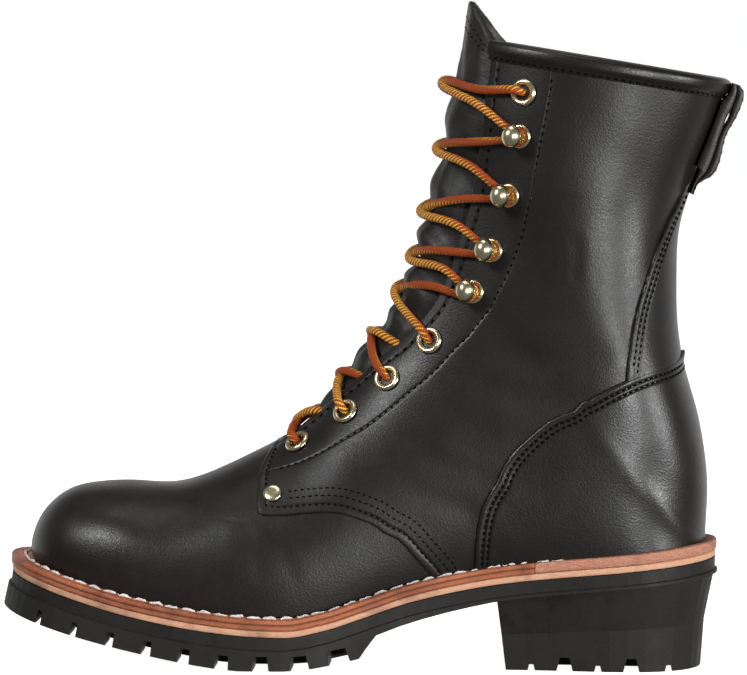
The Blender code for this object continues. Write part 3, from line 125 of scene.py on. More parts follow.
FOREPART = {
    "base": (0.002, 0.007, 0.017, 0.031, 0.050, 0.070, 0.098, 0.133, 0.174, 0.226, 0.281, 0.337,
             0.392, 0.451, 0.513, 0.582, 0.658, 0.741, 0.824, 0.900, 0.958, 0.995),
    "ridge": (0.002, -0.003, -0.006, -0.002, 0.008, 0.027, 0.057, 0.100, 0.153, 0.214, 0.273,
              0.325, 0.366, 0.411, 0.447, 0.476, 0.505, 0.530, 0.549, 0.565, 0.575, 0.582),
    "rise": (-0.069, 0.000, 0.090, 0.195, 0.310, 0.424, 0.530, 0.601, 0.645, 0.684, 0.794, 0.918,
             1.014, 1.106, 1.188, 1.234, 1.327, 1.408, 1.523, 1.634, 1.744, 1.845),
    "outer": (0.000, 0.105, 0.192, 0.262, 0.327, 0.375, 0.422, 0.462, 0.494, 0.517, 0.530, 0.532,
              0.521, 0.496, 0.466, 0.436, 0.413, 0.398, 0.387, 0.383, 0.383, 0.385),
    "inner": (0.000, 0.168, 0.262, 0.325, 0.384, 0.422, 0.456, 0.483, 0.500, 0.506, 0.502, 0.485,
              0.464, 0.436, 0.413, 0.394, 0.383, 0.377, 0.372, 0.372, 0.374, 0.378),
    "wide_at": (0.30, 0.30, 0.30, 0.30, 0.30, 0.30, 0.29, 0.28, 0.28, 0.27, 0.27, 0.27,
                0.27, 0.28, 0.29, 0.30, 0.32, 0.34, 0.36, 0.38, 0.39, 0.40),
    "round": (2.20, 2.20, 2.20, 2.20, 2.25, 2.30, 2.35, 2.40, 2.40, 2.30, 2.20, 2.10,
              2.00, 1.95, 1.97, 2.02, 2.10, 2.25, 2.40, 2.50, 2.52, 2.50),
    "gap": (0.064, 0.064, 0.064, 0.064, 0.064, 0.064, 0.064, 0.064, 0.064, 0.064, 0.070, 0.084,
            0.102, 0.122, 0.146, 0.170, 0.196, 0.223, 0.245, 0.258, 0.260, 0.262),
    "lean": (0.043, 0.042, 0.041, 0.040, 0.038, 0.036, 0.034, 0.033, 0.032, 0.031, 0.030, 0.028,
             0.025, 0.021, 0.017, 0.013, 0.009, 0.006, 0.003, 0.0, 0.0, 0.0),
}
SHAFT = {
    "back": (0.998, 1.000, 0.994, 0.980, 0.962, 0.952, 0.950, 0.953, 0.972, 1.000, 1.026, 1.050),
    "low": (0.016, 0.095, 0.184, 0.273, 0.363, 0.452, 0.541, 0.631, 0.722, 0.822, 0.925, 1.027),
    "front": (0.587, 0.594, 0.601, 0.607, 0.612, 0.6165, 0.6215, 0.627, 0.6325, 0.6365, 0.641,
              0.651),
    "high": (0.659, 0.701, 0.742, 0.781, 0.818, 0.854, 0.889, 0.920, 0.950, 0.979, 1.0065, 1.071),
    "half": (0.430, 0.433, 0.437, 0.441, 0.448, 0.457, 0.466, 0.475, 0.483, 0.491, 0.498, 0.502),
    "wide_at": (0.42, 0.43, 0.44, 0.46, 0.47, 0.48, 0.49, 0.50, 0.50, 0.50, 0.50, 0.50),
    "round": (2.45, 2.35, 2.25, 2.12, 2.05, 2.00, 2.00, 2.00, 2.00, 2.00, 2.00, 2.00),
    "gap": (0.294, 0.297, 0.300, 0.302, 0.306, 0.314, 0.320, 0.322, 0.316, 0.308, 0.298, 0.290),
}
BACKSTAY_EDGE = {
    "section": (22.5, 24.0, 25.1, 26.2, 27.1, 28.1, 29.0, 29.7, 30.6),
    "reach": (0.315, 0.300, 0.270, 0.230, 0.195, 0.155, 0.105, 0.066, 0.050),
}
BACKSTAY_TOP = 30.35
EDGE_SMOOTHING = 30

# Edges as the section that they cross at each v, or the other way round
QUARTER_FRONT = {
    "v": (0.18, 0.230, 0.350, 0.455, 0.465, 0.485, 0.520, 0.555, 0.600, 0.675, 0.785, 0.925, 1.00),
    "section": (11.95, 11.80, 11.40, 11.42, 11.90, 12.80, 13.60, 14.10, 14.60, 15.00, 15.20, 15.40,
                15.45),
}
COUNTER_FRONT = {
    "section": (16.10, 16.20, 16.40, 16.65, 16.90, 17.20, 17.50, 17.95, 18.45, 19.15, 20.50, 21.25,
                22.05, 22.90, 23.75, 24.65, 25.15, 25.90, 26.20),
    "v": (0.990, 0.932, 0.818, 0.728, 0.665, 0.624, 0.606, 0.596, 0.590, 0.586, 0.588, 0.597,
          0.618, 0.646, 0.689, 0.750, 0.798, 0.905, 0.998),
}
COUNTER_REAR = slice(9, None)
SECOND_SEAM = {
    "section": (11.9, 12.8, 13.9, 14.5, 15.9, 16.8, 17.8, 18.5, 19.5, 22.2, 24.3, 26.5, 28.9, 30.2,
                31.6),
    "setback": (22.8, 24.4, 25.8, 25.6, 24.4, 22.2, 21.5, 20.8, 22.7, 28.1, 30.2, 31.7, 31.6, 31.5,
                30.9),
}
QUARTER_ROWS = (3.5, 7.2, 10.5)
FIRST_SEAM = 4.8 * MM
COUNTER_ROWS = (3.0, 5.2)
BACKSTAY_ROWS = (2.4, 4.4)
TONGUE_ROWS = (3.2, 5.6)
OVERLAY_LIFT = 0.1 * MM
EDGE_STEP = 0.4 * MM
STITCH_SEED = 7

# Stitches by seam: pitch, length, radius and lift over the leather, in millimetres
STITCHES = {
    "facing": (4.3, 1.9, 0.36, 0.05),
    "quarter": (2.7, 1.5, 0.32, 0.05),
    "second": (3.2, 1.6, 0.34, 0.0),
    "counter": (2.7, 1.8, 0.36, 0.0),
    "backstay": (2.7, 1.8, 0.34, 0.0),
    "tongue": (3.2, 1.8, 0.25, 0.0),
    "collar": (3.2, 2.0, 0.36, 0.0),
    "loop": (4.0, 2.2, 0.36, -0.12),
    "welt": (7.0, 6.0, 0.66, 0.30),
}

EYELET_PLACES = {
    "section": (12.70, 14.45, 16.10, 18.00, 30.25),
    "setback": (0.60, 0.68, 0.60, 0.50, 1.00),
}
HOOK_PLACES = {
    "section": (20.90, 23.30, 26.05, 28.60),
    "setback": (0.77, 0.91, 1.05, 1.10),
}
RIVET_ALONG = 0.369
RIVET_UP = 0.715
CROSSING_SECTIONS = (17.90, 19.45, 21.85, 24.95, 28.50)
LACE_PITCH = 2.0
LACE_SHIFT = 37.0

THROAT_SHARE = 0.20
WIDE_SHARE = 0.62
LOW_ROUND = 2.2
CORNER_ROW = 21
COLLAR_ROW = 32
TONGUE_START = 11.5
TONGUE_TAPER_AT = 0.8
TONGUE_REACH = 0.41
TONGUE_TAPER_ROW = 28
TONGUE_RISE = 1.10
TONGUE_FALL = (3.3, 2.5)
TONGUE_TOP_REACH = 0.30

# How far the tongue's middle stands off the form, in millimetres: dents under the lace's
# crossings, and puffs between them
TONGUE_PUFFS = {
    "section": (11.5, 12.3, 13.0, 13.7, 14.3, 14.8, 15.5, 16.2, 16.7, 17.3, 17.9, 18.7, 19.45, 20.6,
                21.85, 23.3, 24.95, 26.8, 28.5, 30.2, 31.5, 33.3),
    "height": (-3.5, -1.9, -1.6, 0.0, -0.6, -0.6, 1.6, -0.2, -0.2, 1.6, -0.8, 2.6, -1.0, 2.9,
               -1.2, 1.8, -1.4, 1.7, 0.4, 1.0, 1.2, 3.4),
}

# Stage, in metres, watts and degrees
SOFT_BOXES = (
    ("right_front_box", (0.92, -1.68, 0.15), (0.34, 0.26), 22.0),
    ("right_low_box", (1.72, -1.00, 0.17), (0.55, 0.30), 24.0),
    ("left_box", (-1.16, -1.14, 1.15), (0.40, 0.50), 22.0),
    ("top_box", (-0.10, -0.10, 1.90), (1.2, 0.8), 6.0),
)
LIT_POINT = (0.03, 0.0, 0.11)
CAMERA = {
    "place": (0.0994, -1.8974, 0.270),
    "yaw, pitch and roll": (-3.0, 3.974, 0.75),
    "lens": 212.92,
    "shift": (0.0028, 0.0014),
}


# Curves


def spline_bends(knots, values):
    """Second derivatives of the natural cubic splines through each column of values."""
    gaps = np.diff(knots)
    slopes = np.diff(values, axis=0) / gaps[:, None]
    count = len(knots)
    matrix = np.eye(count)
    right = np.zeros(values.shape)
    for row in range(1, count - 1):
        matrix[row, row - 1:row + 2] = gaps[row - 1], 2.0 * (gaps[row - 1] + gaps[row]), gaps[row]
        right[row] = 6.0 * (slopes[row] - slopes[row - 1])
    return np.linalg.solve(matrix, right)


def spline_read(knots, values, bends, at):
    """Every column of values on its spline, at the given places."""
    at = np.asarray(at, float)
    k = np.clip(np.searchsorted(knots, at, side="right") - 1, 0, len(knots) - 2)
    h = (knots[k + 1] - knots[k])[..., None]
    t = (at - knots[k])[..., None]
    slope = (values[k + 1] - values[k]) / h
    first = slope - h * (2.0 * bends[k] + bends[k + 1]) / 6.0
    return values[k] + t * (first + t * (bends[k] / 2.0 + t * (bends[k + 1] - bends[k]) / (6.0 * h)))


def smooth_curve(knots, values, at):
    """One column of values on its natural spline."""
    knots = np.asarray(knots, float)
    values = np.asarray(values, float)[:, None]
    return spline_read(knots, values, spline_bends(knots, values), at)[..., 0]


def monotone(knots, values, at):
    """Values on a curve through the knots that keeps flat runs flat."""
    knots = np.asarray(knots, float)
    values = np.asarray(values, float)
    gaps = np.diff(knots)
    slopes = np.diff(values) / gaps
    tangents = np.zeros(len(knots))
    for row in range(1, len(knots) - 1):
        if slopes[row - 1] * slopes[row] > 0.0:
            tangents[row] = 2.0 / (1.0 / slopes[row - 1] + 1.0 / slopes[row])
    tangents[0] = slopes[0]
    tangents[-1] = slopes[-1]
    at = np.asarray(at, float)
    k = np.clip(np.searchsorted(knots, at, side="right") - 1, 0, len(knots) - 2)
    h = gaps[k]
    t = (at - knots[k]) / h
    start = values[k] * (1.0 + 2.0 * t) * (1.0 - t) ** 2 + h * tangents[k] * t * (1.0 - t) ** 2
    end = values[k + 1] * t * t * (3.0 - 2.0 * t) - h * tangents[k + 1] * t * t * (1.0 - t)
    return start + end


TOE_X = -0.5 * LAST_LENGTH - BACK_SHIFT
HEEL_X = TOE_X + LAST_LENGTH


def along_of(x):
    """Share of the last's length at x."""
    return (np.asarray(x, float) - TOE_X) / LAST_LENGTH


def seat_level(x):
    """Height of the welt's top, on which the upper stands."""
    along = along_of(x)
    toe = monotone(SEAT_LINE["along"], SEAT_LINE["toe"], along)
    heel = monotone(SEAT_LINE["along"], SEAT_LINE["heel"], along)
    return FORE_STACK + TOE_SPRING * toe + HEEL_RISE * heel


def plan_outline(steps):
    """The last's closed plan outline: toe, outer side, heel, inner side."""
    along = np.array(LAST_PLAN["along"])
    x = TOE_X + LAST_LENGTH * np.concatenate(([0.0], along, [1.0], along[::-1]))
    y = BALL_WIDTH * np.concatenate(([TOE_SIDE_SHIFT], -np.array(LAST_PLAN["outer"]), [0.0],
                                     np.array(LAST_PLAN["inner"])[::-1]))
    x = np.concatenate((x[-3:], x, x[:4]))
    y = np.concatenate((y[-3:], y, y[:4]))
    run = np.concatenate(([0.0], np.cumsum(np.hypot(np.diff(x), np.diff(y)))))
    at = np.linspace(run[3], run[-4], steps + 1)[:-1]
    return np.column_stack((smooth_curve(run, x, at), smooth_curve(run, y, at)))


PLAN = plan_outline(240)


def plan_outward(plan):
    """The outward directions of a closed plan outline."""
    ahead = np.roll(plan, -1, axis=0) - np.roll(plan, 1, axis=0)
    ahead /= np.linalg.norm(ahead, axis=1)[:, None]
    return np.column_stack((ahead[:, 1], -ahead[:, 0]))


def last_half_widths(x):
    """Outer and inner half width of the last's plan at x."""
    toe = int(np.argmin(PLAN[:, 0]))
    turned = np.roll(PLAN, -toe, axis=0)
    heel = int(np.argmax(turned[:, 0]))
    outer = turned[:heel + 1]
    inner = np.vstack((turned[heel:], turned[:1]))[::-1]
    x = min(max(x, outer[0, 0]), outer[-1, 0])
    low = -float(np.interp(x, outer[:, 0], outer[:, 1]))
    return low, float(np.interp(x, inner[:, 0], inner[:, 1]))


def section_rows():
    """Every section as base point, ridge point, half widths and shape values."""
    rows = []
    for values in zip(*FOREPART.values()):
        base, ridge, rise, outer, inner, wide_at, full, gap, lean = values
        base_x = TOE_X + base * LAST_LENGTH
        seat = float(seat_level(base_x))
        ends = last_half_widths(base_x) if rows else (0.0, 0.0)
        top_z = seat + rise * INSTEP_HEIGHT if rows else seat - SKIRT
        rows.append((base_x, seat - SKIRT, TOE_X + ridge * LAST_LENGTH, top_z,
                     outer * BALL_WIDTH, inner * BALL_WIDTH, ends[0], ends[1], wide_at, full,
                     gap * BALL_WIDTH, lean * BALL_WIDTH))
    heel_seat = float(seat_level(HEEL_X))
    for back, low, front, high, half, wide_at, full, gap in zip(*SHAFT.values()):
        rows.append((TOE_X + back * LAST_LENGTH, heel_seat + low * SHAFT_HEIGHT,
                     TOE_X + front * LAST_LENGTH, heel_seat + high * SHAFT_HEIGHT,
                     half * SHAFT_WIDTH, half * SHAFT_WIDTH, 0.0, 0.0, wide_at, full,
                     gap * SHAFT_WIDTH, 0.0))
    return np.array(rows)


ROWS = section_rows()
ROW_NUMBERS = np.arange(len(ROWS), dtype=float)
ROW_BENDS = spline_bends(ROW_NUMBERS, ROWS)


def form(u, v):
    """Points of the boot's outer form: section u, v from -1 outside over 0 at the ridge to 1."""
    u, v = np.broadcast_arrays(np.asarray(u, float), np.asarray(v, float))
    values = np.moveaxis(spline_read(ROW_NUMBERS, ROWS, ROW_BENDS, u), -1, 0)
    base_x, base_z, ridge_x, ridge_z, outer, inner, end_out, end_in, wide_at, full, gap, lean = values
    side = np.where(v < 0.0, -1.0, 1.0)
    half = np.maximum(np.where(v < 0.0, outer, inner), 1e-7)
    end = np.minimum(np.maximum(np.where(v < 0.0, end_out, end_in), 0.0), 0.995 * half)
    end = np.where(u >= CORNER_ROW + 1, 0.0, end)
    share = np.minimum(np.abs(v), 1.0)
    edge = np.arcsin(np.minimum(gap / half, 0.98) ** (full / 2.0))
    wide_turn = edge + (0.5 * math.pi - edge) * (share - THROAT_SHARE) / (WIDE_SHARE - THROAT_SHARE)
    turn = np.clip(np.where(share <= THROAT_SHARE, edge * share / THROAT_SHARE, wide_turn), 0.0,
                   0.5 * math.pi)
    across = half * np.sin(turn) ** (2.0 / full)
    level = wide_at + (1.0 - wide_at) * np.maximum(np.cos(turn), 0.0) ** (2.0 / full)
    depth = wide_at / (1.0 - (end / half) ** LOW_ROUND) ** (1.0 / LOW_ROUND)
    last_turn = np.arcsin(np.minimum((wide_at / depth) ** (LOW_ROUND / 2.0), 1.0))
    low_turn = last_turn * np.clip((share - WIDE_SHARE) / (1.0 - WIDE_SHARE), 0.0, 1.0)
    low_across = half * np.maximum(np.cos(low_turn), 0.0) ** (2.0 / LOW_ROUND)
    low_across = np.where(share >= 1.0, end, low_across)
    low_level = wide_at - depth * np.sin(low_turn) ** (2.0 / LOW_ROUND)
    across = np.where(share <= WIDE_SHARE, across, low_across)
    level = np.where(share <= WIDE_SHARE, level, low_level)
    y = side * across + lean * np.where(u < 1.0, 1.0, level)
    return np.stack((base_x + level * (ridge_x - base_x), y, base_z + level * (ridge_z - base_z)), -1)


def form_normal(u, v):
    """Outward normals of the form."""
    u, v = np.broadcast_arrays(np.asarray(u, float), np.asarray(v, float))
    flat = np.clip(v, -0.985, 0.985)
    along = form(u + 0.06, flat) - form(np.maximum(u - 0.06, 0.02), flat)
    around = form(u, flat + 0.012) - form(u, flat - 0.012)
    normal = np.cross(along, around)
    back = (np.abs(v) > 0.999) & (u > CORNER_ROW + 0.999)
    normal[..., 1] = np.where(back, 0.0, normal[..., 1])
    return normal / np.linalg.norm(normal, axis=-1)[..., None]


def on_form(u, v, offset):
    """Points off the form by offset."""
    return form(u, v) + form_normal(u, v) * np.asarray(offset, float)[..., None]


def point_on(u, v, offset=0.0):
    """One point off the form, as a vector."""
    return Vector(on_form(np.array([u]), np.array([v]), np.array([offset]))[0])


def low_end(u, side):
    """v at which section u reaches the welt, or 1 where it ends on the back line."""
    u = np.asarray(u, float)
    tries = np.linspace(0.5, 1.0, 101)
    points = form(u[..., None], side * tries)
    above = points[..., 2] - seat_level(points[..., 0]) - GAP
    below = above < 0.0
    first = np.where(below.any(-1), below.argmax(-1), 0)
    index = np.maximum(first, 1)
    high = np.take_along_axis(above, (index - 1)[..., None], -1)[..., 0]
    low = np.take_along_axis(above, index[..., None], -1)[..., 0]
    share = high / np.where(np.abs(high - low) < 1e-12, 1.0, high - low)
    found = tries[index - 1] + share * (tries[1] - tries[0])
    found = np.where(below[..., 0], 0.01, found)
    return np.where(below.any(-1), np.minimum(found, 1.0), 1.0)


def walked(points, axis=0):
    """Distance walked along a grid of points from its first row or column."""
    steps = np.linalg.norm(np.diff(points, axis=axis), axis=-1)
    total = np.cumsum(steps, axis=axis)
    return np.concatenate((np.zeros_like(np.take(total, [0], axis=axis)), total), axis=axis)


def facing_v(side, setback, u):
    """v on section u, the given distance behind the throat's edge."""
    tries = THROAT_SHARE + 0.002 * np.arange(380)
    run = walked(form(np.full(len(tries), float(u)), side * tries))
    return side * float(tries[min(int(np.searchsorted(run, setback)), len(tries) - 1)])


def setback_table():
    """Distance behind the throat's edge over sections and v, for reading between."""
    sections = np.linspace(9.0, 33.0, 121)
    shares = np.linspace(THROAT_SHARE, 1.0, 81)
    tables = {}
    for side in (OUTER, INNER):
        tables[side] = walked(form(sections[:, None], side * shares[None, :]), 1)
    return sections, shares, tables


SETBACKS = setback_table()


def setback_of(u, v, side):
    """Distance behind the throat's edge at each point, measured along its section."""
    sections, shares, tables = SETBACKS
    a = np.clip((u - sections[0]) / (sections[1] - sections[0]), 0, len(sections) - 1.001)
    b = np.clip((np.abs(v) - shares[0]) / (shares[1] - shares[0]), 0, len(shares) - 1.001)
    i, k = a.astype(int), b.astype(int)
    s, t = a - i, b - k
    table = tables[side]
    low = table[i, k] * (1 - t) + table[i, k + 1] * t
    return low * (1 - s) + (table[i + 1, k] * (1 - t) + table[i + 1, k + 1] * t) * s


# Meshes


def mesh_object(name, points, faces, materials, marks=None, sharp=None):
    """A mesh object with smooth shading. marks are distances stored for the materials."""
    mesh = bpy.data.meshes.new(name)
    mesh.from_pydata(np.asarray(points).reshape(-1, 3).tolist(), [], faces)
    bm = bmesh.new()
    bm.from_mesh(mesh)
    bmesh.ops.recalc_face_normals(bm, faces=bm.faces)
    bm.to_mesh(mesh)
    bm.free()
    for mark, values in (marks or {}).items():
        layer = mesh.attributes.new(mark, "FLOAT", "POINT")
        layer.data.foreach_set("value", np.asarray(values, np.float32).ravel())
    mesh.shade_smooth()
    if sharp:
        mesh.set_sharp_from_angle(angle=math.radians(sharp))
    for made_of in materials:
        mesh.materials.append(made_of)
    thing = bpy.data.objects.new(name, mesh)
    bpy.context.scene.collection.objects.link(thing)
    return thing


def grid_faces(rows, columns, first=0, wrap=False):
    """Quads over a grid of points; wrap joins the last column to the first."""
    faces = []
    for i in range(rows - 1):
        for k in range(columns if wrap else columns - 1):
            n = (k + 1) % columns
            faces.append((first + i * columns + k, first + i * columns + n,
                          first + (i + 1) * columns + n, first + (i + 1) * columns + k))
    return faces


def capped_faces(count, around):
    """Faces over a tube of rings, with both ends filled."""
    faces = grid_faces(count, around, wrap=True)
    faces.append(tuple(range(around))[::-1])
    faces.append(tuple((count - 1) * around + k for k in range(around)))
    return faces


def joined(parts):
    """The points and faces of several parts, one part after the other."""
    points = []
    faces = []
    for part_points, part_faces in parts:
        first = len(points)
        points += [tuple(point) for point in part_points]
        faces += [tuple(first + k for k in face) for face in part_faces]
    return points, faces


def shell(name, outer, inner, materials, marks=None, sharp=50.0):
    """A closed sheet between an outer and an inner grid of points."""
    rows, columns = outer.shape[:2]
    count = rows * columns
    faces = grid_faces(rows, columns) + [face[::-1] for face in grid_faces(rows, columns, count)]
    rim = list(range(columns)) + [i * columns + columns - 1 for i in range(1, rows)]
    rim += [(rows - 1) * columns + k for k in range(columns - 2, -1, -1)]
    rim += [i * columns for i in range(rows - 2, 0, -1)]
    for a, b in zip(rim, rim[1:] + rim[:1]):
        faces.append((a, b, b + count, a + count))
    points = np.concatenate((outer.reshape(-1, 3), inner.reshape(-1, 3)))
    doubled = {mark: np.concatenate((np.ravel(values), np.ravel(values)))
               for mark, values in (marks or {}).items()}
    return mesh_object(name, points, faces, materials, doubled, sharp)


def sheet_parts(outer, inner, marks):
    """Points, faces and marks of a closed sheet, without an object."""
    sheet = shell("side", outer, inner, [], marks)
    points = [tuple(vert.co) for vert in sheet.data.vertices]
    faces = [tuple(face.vertices) for face in sheet.data.polygons]
    found = {mark: [item.value for item in sheet.data.attributes[mark].data] for mark in marks}
    bpy.data.objects.remove(sheet)
    return points, faces, found


def joined_sheets(name, sheets, made_of):
    """One piece from several sheets."""
    points, faces = joined(sheet[:2] for sheet in sheets)
    marks = {mark: [value for sheet in sheets for value in sheet[2][mark]] for mark in sheets[0][2]}
    return mesh_object(name, points, faces, [made_of], marks, 50.0)


def weld(thing, distance):
    """Join the points of a piece that lie on each other."""
    bm = bmesh.new()
    bm.from_mesh(thing.data)
    bmesh.ops.remove_doubles(bm, verts=bm.verts, dist=distance)
    bmesh.ops.dissolve_degenerate(bm, edges=bm.edges, dist=distance)
    bm.to_mesh(thing.data)
    bm.free()
    return thing


def ring_tube(name, rings, materials, marks=None, closed=False, sharp=None):
    """A solid through rings of points, with its ends filled or its last ring joined to its first."""
    rings = np.asarray(rings)
    count, around = rings.shape[:2]
    if closed:
        faces = grid_faces(count, around, wrap=True)
        for k in range(around):
            n = (k + 1) % around
            faces.append(((count - 1) * around + k, (count - 1) * around + n, n, k))
    else:
        faces = capped_faces(count, around)
    return mesh_object(name, rings, faces, materials, marks, sharp)


def tight(count, length, near=(0.25, 0.6, 1.1, 1.8), at_start=True, at_end=True):
    """Shares from 0 to 1 over a length, with extra ones in millimetres from the chosen ends."""
    shares = list(np.linspace(0.0, 1.0, count))
    extra = [step * MM / length for step in near]
    if at_start:
        shares += extra
    if at_end:
        shares += [1.0 - share for share in extra]
    return np.array(sorted(shares))


def rounded(distance, radius):
    """How far a rounded edge drops at a distance from it."""
    share = 1.0 - np.clip(distance / radius, 0.0, 1.0)
    return radius * (1.0 - np.sqrt(1.0 - share ** 2))


def bell(distance, width):
    """1 at no distance, falling to nothing beyond about twice the width."""
    return np.exp(-(distance / width) ** 2)


def distance_to(points, line):
    """Distance of each point of a grid from a line of points."""
    tree = kdtree.KDTree(len(line))
    for k, point in enumerate(line):
        tree.insert(point, k)
    tree.balance()
    flat = points.reshape(-1, 3)
    found = np.array([tree.find(point)[2] for point in flat])
    return found.reshape(points.shape[:-1])


def resampled(points, step):
    """A line of points walked in equal steps."""
    points = np.asarray(points, float)
    run = walked(points)
    count = max(int(round(run[-1] / step)), 1)
    at = np.linspace(0.0, run[-1], count + 1)
    return np.column_stack([np.interp(at, run, points[:, c]) for c in range(points.shape[1])])


def level_line(field, u, v, level, axis=0):
    """u and v where a field first rises to a level, along each column or row of a grid."""
    if axis == 1:
        field, u, v = field.T, u.T, v.T
    found = []
    for k in range(field.shape[1]):
        above = np.nonzero(field[:, k] >= level)[0]
        if len(above) and above[0] > 0:
            i = above[0]
            share = (level - field[i - 1, k]) / max(field[i, k] - field[i - 1, k], 1e-9)
            found.append((u[i - 1, k] + share * (u[i, k] - u[i - 1, k]),
                          v[i - 1, k] + share * (v[i, k] - v[i - 1, k])))
    return np.array(found)


# Creases


# Soft troughs and ridges in the leather, set on the side view. line: x and z in
# millimetres. depth: how deep, in millimetres; below zero it is a ridge. width: half width.
SHAFT_CREASES = (
    {"line": ((87, 184), (88, 176), (87, 168)), "depth": 0.16, "width": 1.8},
    {"line": ((92, 186), (93, 177), (92, 168)), "depth": -0.10, "width": 2.4},
    {"line": ((58, 135), (78, 131), (98, 134)), "depth": 0.45, "width": 7.0},
    {"line": ((52, 122), (70, 116), (92, 118), (112, 124)), "depth": 0.35, "width": 6.0},
    {"line": ((60, 108), (76, 104), (96, 105)), "depth": -0.30, "width": 7.0},
    {"line": ((66, 205), (82, 208), (100, 204)), "depth": -0.35, "width": 10.0},
    {"line": ((20, 96), (32, 88), (48, 84)), "depth": 0.40, "width": 5.0},
    {"line": ((12, 84), (26, 74), (44, 68)), "depth": 0.30, "width": 5.0},
    {"line": ((-8, 70), (8, 60), (26, 52)), "depth": -0.25, "width": 6.0},
)
VAMP_CREASES = (
    {"line": ((-40, 60), (-34, 52), (-30, 42)), "depth": 0.22, "width": 3.5},
    {"line": ((-50, 62), (-46, 52), (-44, 42)), "depth": 0.18, "width": 3.0},
    {"line": ((-58, 64), (-56, 54), (-56, 44)), "depth": -0.15, "width": 3.5},
    {"line": ((-112, 62), (-100, 66), (-86, 66)), "depth": -0.15, "width": 8.0},
)


def crease_depth(points, creases):
    """How far the leather stands in or out at each point."""
    depth = np.zeros(points.shape[:-1])
    for crease in creases:
        line = resampled(np.array(crease["line"], float), 1.0) * MM
        flat = points[..., (0, 2)]
        away = np.min(np.linalg.norm(flat[..., None, :] - line, axis=-1), axis=-1)
        depth -= crease["depth"] * MM * bell(away, crease["width"] * MM)
    return depth


def soft_waves(points, size, seed):
    """A gentle unevenness between -1 and 1 over points, the same on each run."""
    phases = np.array([(0.3, 1.1, 2.3), (2.0, 0.7, 1.9), (4.1, 3.3, 0.4)]) + seed
    turns = np.array([(1.0, 0.6, 0.8), (-0.7, 1.1, 0.9), (0.5, -0.9, 1.3)]) * (2.0 * math.pi / size)
    total = np.zeros(points.shape[:-1])
    for phase, turn in zip(phases, turns):
        total += np.sin(points @ turn + phase[0]) * np.cos(points @ turn[::-1] + phase[1])
    return total / 3.0


# Stitches


def stitch_points(line, normals, seam):
    """Rings of points for a row of stitches along a line."""
    pitch, length, radius, lift = (size * MM for size in STITCHES[seam])
    run = walked(line)
    count = int(run[-1] / pitch)
    starts = (np.arange(count) + 0.5 * (1.0 - length / pitch)) * pitch + 0.5 * (run[-1] - count * pitch)
    shares = np.array([0.0, 0.10, 0.35, 0.65, 0.90, 1.0])
    sizes = np.array([0.45, 0.85, 1.0, 1.0, 0.85, 0.45])
    rise = np.array([-0.75, -0.15, 0.15, 0.15, -0.15, -0.75])
    at = starts[:, None] + length * shares
    centre = np.stack([np.interp(at, run, line[:, c]) for c in range(3)], -1)
    normal = np.stack([np.interp(at, run, normals[:, c]) for c in range(3)], -1)
    normal /= np.linalg.norm(normal, axis=-1)[..., None]
    ahead = centre[:, -1:] - centre[:, :1]
    ahead = ahead / np.linalg.norm(ahead, axis=-1)[..., None]
    across = np.cross(normal, np.broadcast_to(ahead, normal.shape))
    across /= np.linalg.norm(across, axis=-1)[..., None]
    turns = np.linspace(0.0, 2.0 * math.pi, 7)[:-1]
    centre = centre + normal * (lift + rise * radius)[None, :, None]
    ring = (across[:, :, None, :] * np.cos(turns)[None, None, :, None]
            + normal[:, :, None, :] * np.sin(turns)[None, None, :, None])
    return centre[:, :, None, :] + ring * (radius * sizes)[None, :, None, None]


def stitch_object(name, blocks, made_of):
    """All the stitches of one thread as one piece."""
    rings = np.concatenate(blocks)
    one = capped_faces(*rings.shape[1:3])
    points, faces = joined((stitch.reshape(-1, 3), one) for stitch in rings)
    return mesh_object(name, points, faces, [made_of])


SEWN = {"dark": [], "pale": []}


def keep_row(line, normals, seam):
    """Keep one row of dark stitches along a line of points."""
    dense = resampled(np.column_stack((line, normals)), 0.4 * MM)
    SEWN["dark"].append(stitch_points(dense[:, :3], dense[:, 3:], seam))


def sew(line, offset, seam):
    """Keep one row of dark stitches off the form, along a line of u and v."""
    u, v = line.T
    keep_row(on_form(u, v, np.broadcast_to(offset, len(line))), form_normal(u, v), seam)


# Materials


def node(tree, kind, *links, **settings):
    """A shader node. links are (input, source or value); settings are its properties."""
    made = tree.nodes.new(kind)
    for key, value in settings.items():
        setattr(made, key, value)
    for name, source in links:
        socket = made.inputs[name]
        if isinstance(source, bpy.types.NodeSocket):
            tree.links.new(source, socket)
        else:
            socket.default_value = source
    return made


def maths(tree, operation, a, b=0.0):
    """The result of a Math node."""
    return node(tree, "ShaderNodeMath", (0, a), (1, b), operation=operation).outputs[0]


def times(tree, a, b):
    """The product of two values."""
    return maths(tree, "MULTIPLY", a, b)


def blended(tree, factor, first, second):
    """The result of a colour Mix node."""
    mix = node(tree, "ShaderNodeMix", ("Factor", factor), data_type="RGBA")
    for index, source in ((6, first), (7, second)):
        if isinstance(source, bpy.types.NodeSocket):
            tree.links.new(source, mix.inputs[index])
        else:
            mix.inputs[index].default_value = (*source[:3], 1.0)
    return mix.outputs[2]


def ranged(tree, value, low, high, to_low=0.0, to_high=1.0):
    """A value moved from one range to another, and held there."""
    made = node(tree, "ShaderNodeMapRange", ("Value", value), ("From Min", low), ("From Max", high),
                ("To Min", to_low), ("To Max", to_high))
    return made.outputs["Result"]


def place_of(tree):
    """Places in the boot's own frame, in metres."""
    return node(tree, "ShaderNodeTexCoord").outputs["Object"]


def noise(tree, scale, detail, roughness=0.5, place=None):
    """The value of a noise over the boot."""
    if place is None:
        place = place_of(tree)
    made = node(tree, "ShaderNodeTexNoise", ("Vector", place), ("Scale", scale), ("Detail", detail),
                ("Roughness", roughness))
    return made.outputs["Fac"]


def toned(colour, share):
    """A colour made lighter or darker."""
    return tuple(min(c * share, 1.0) for c in colour[:3])


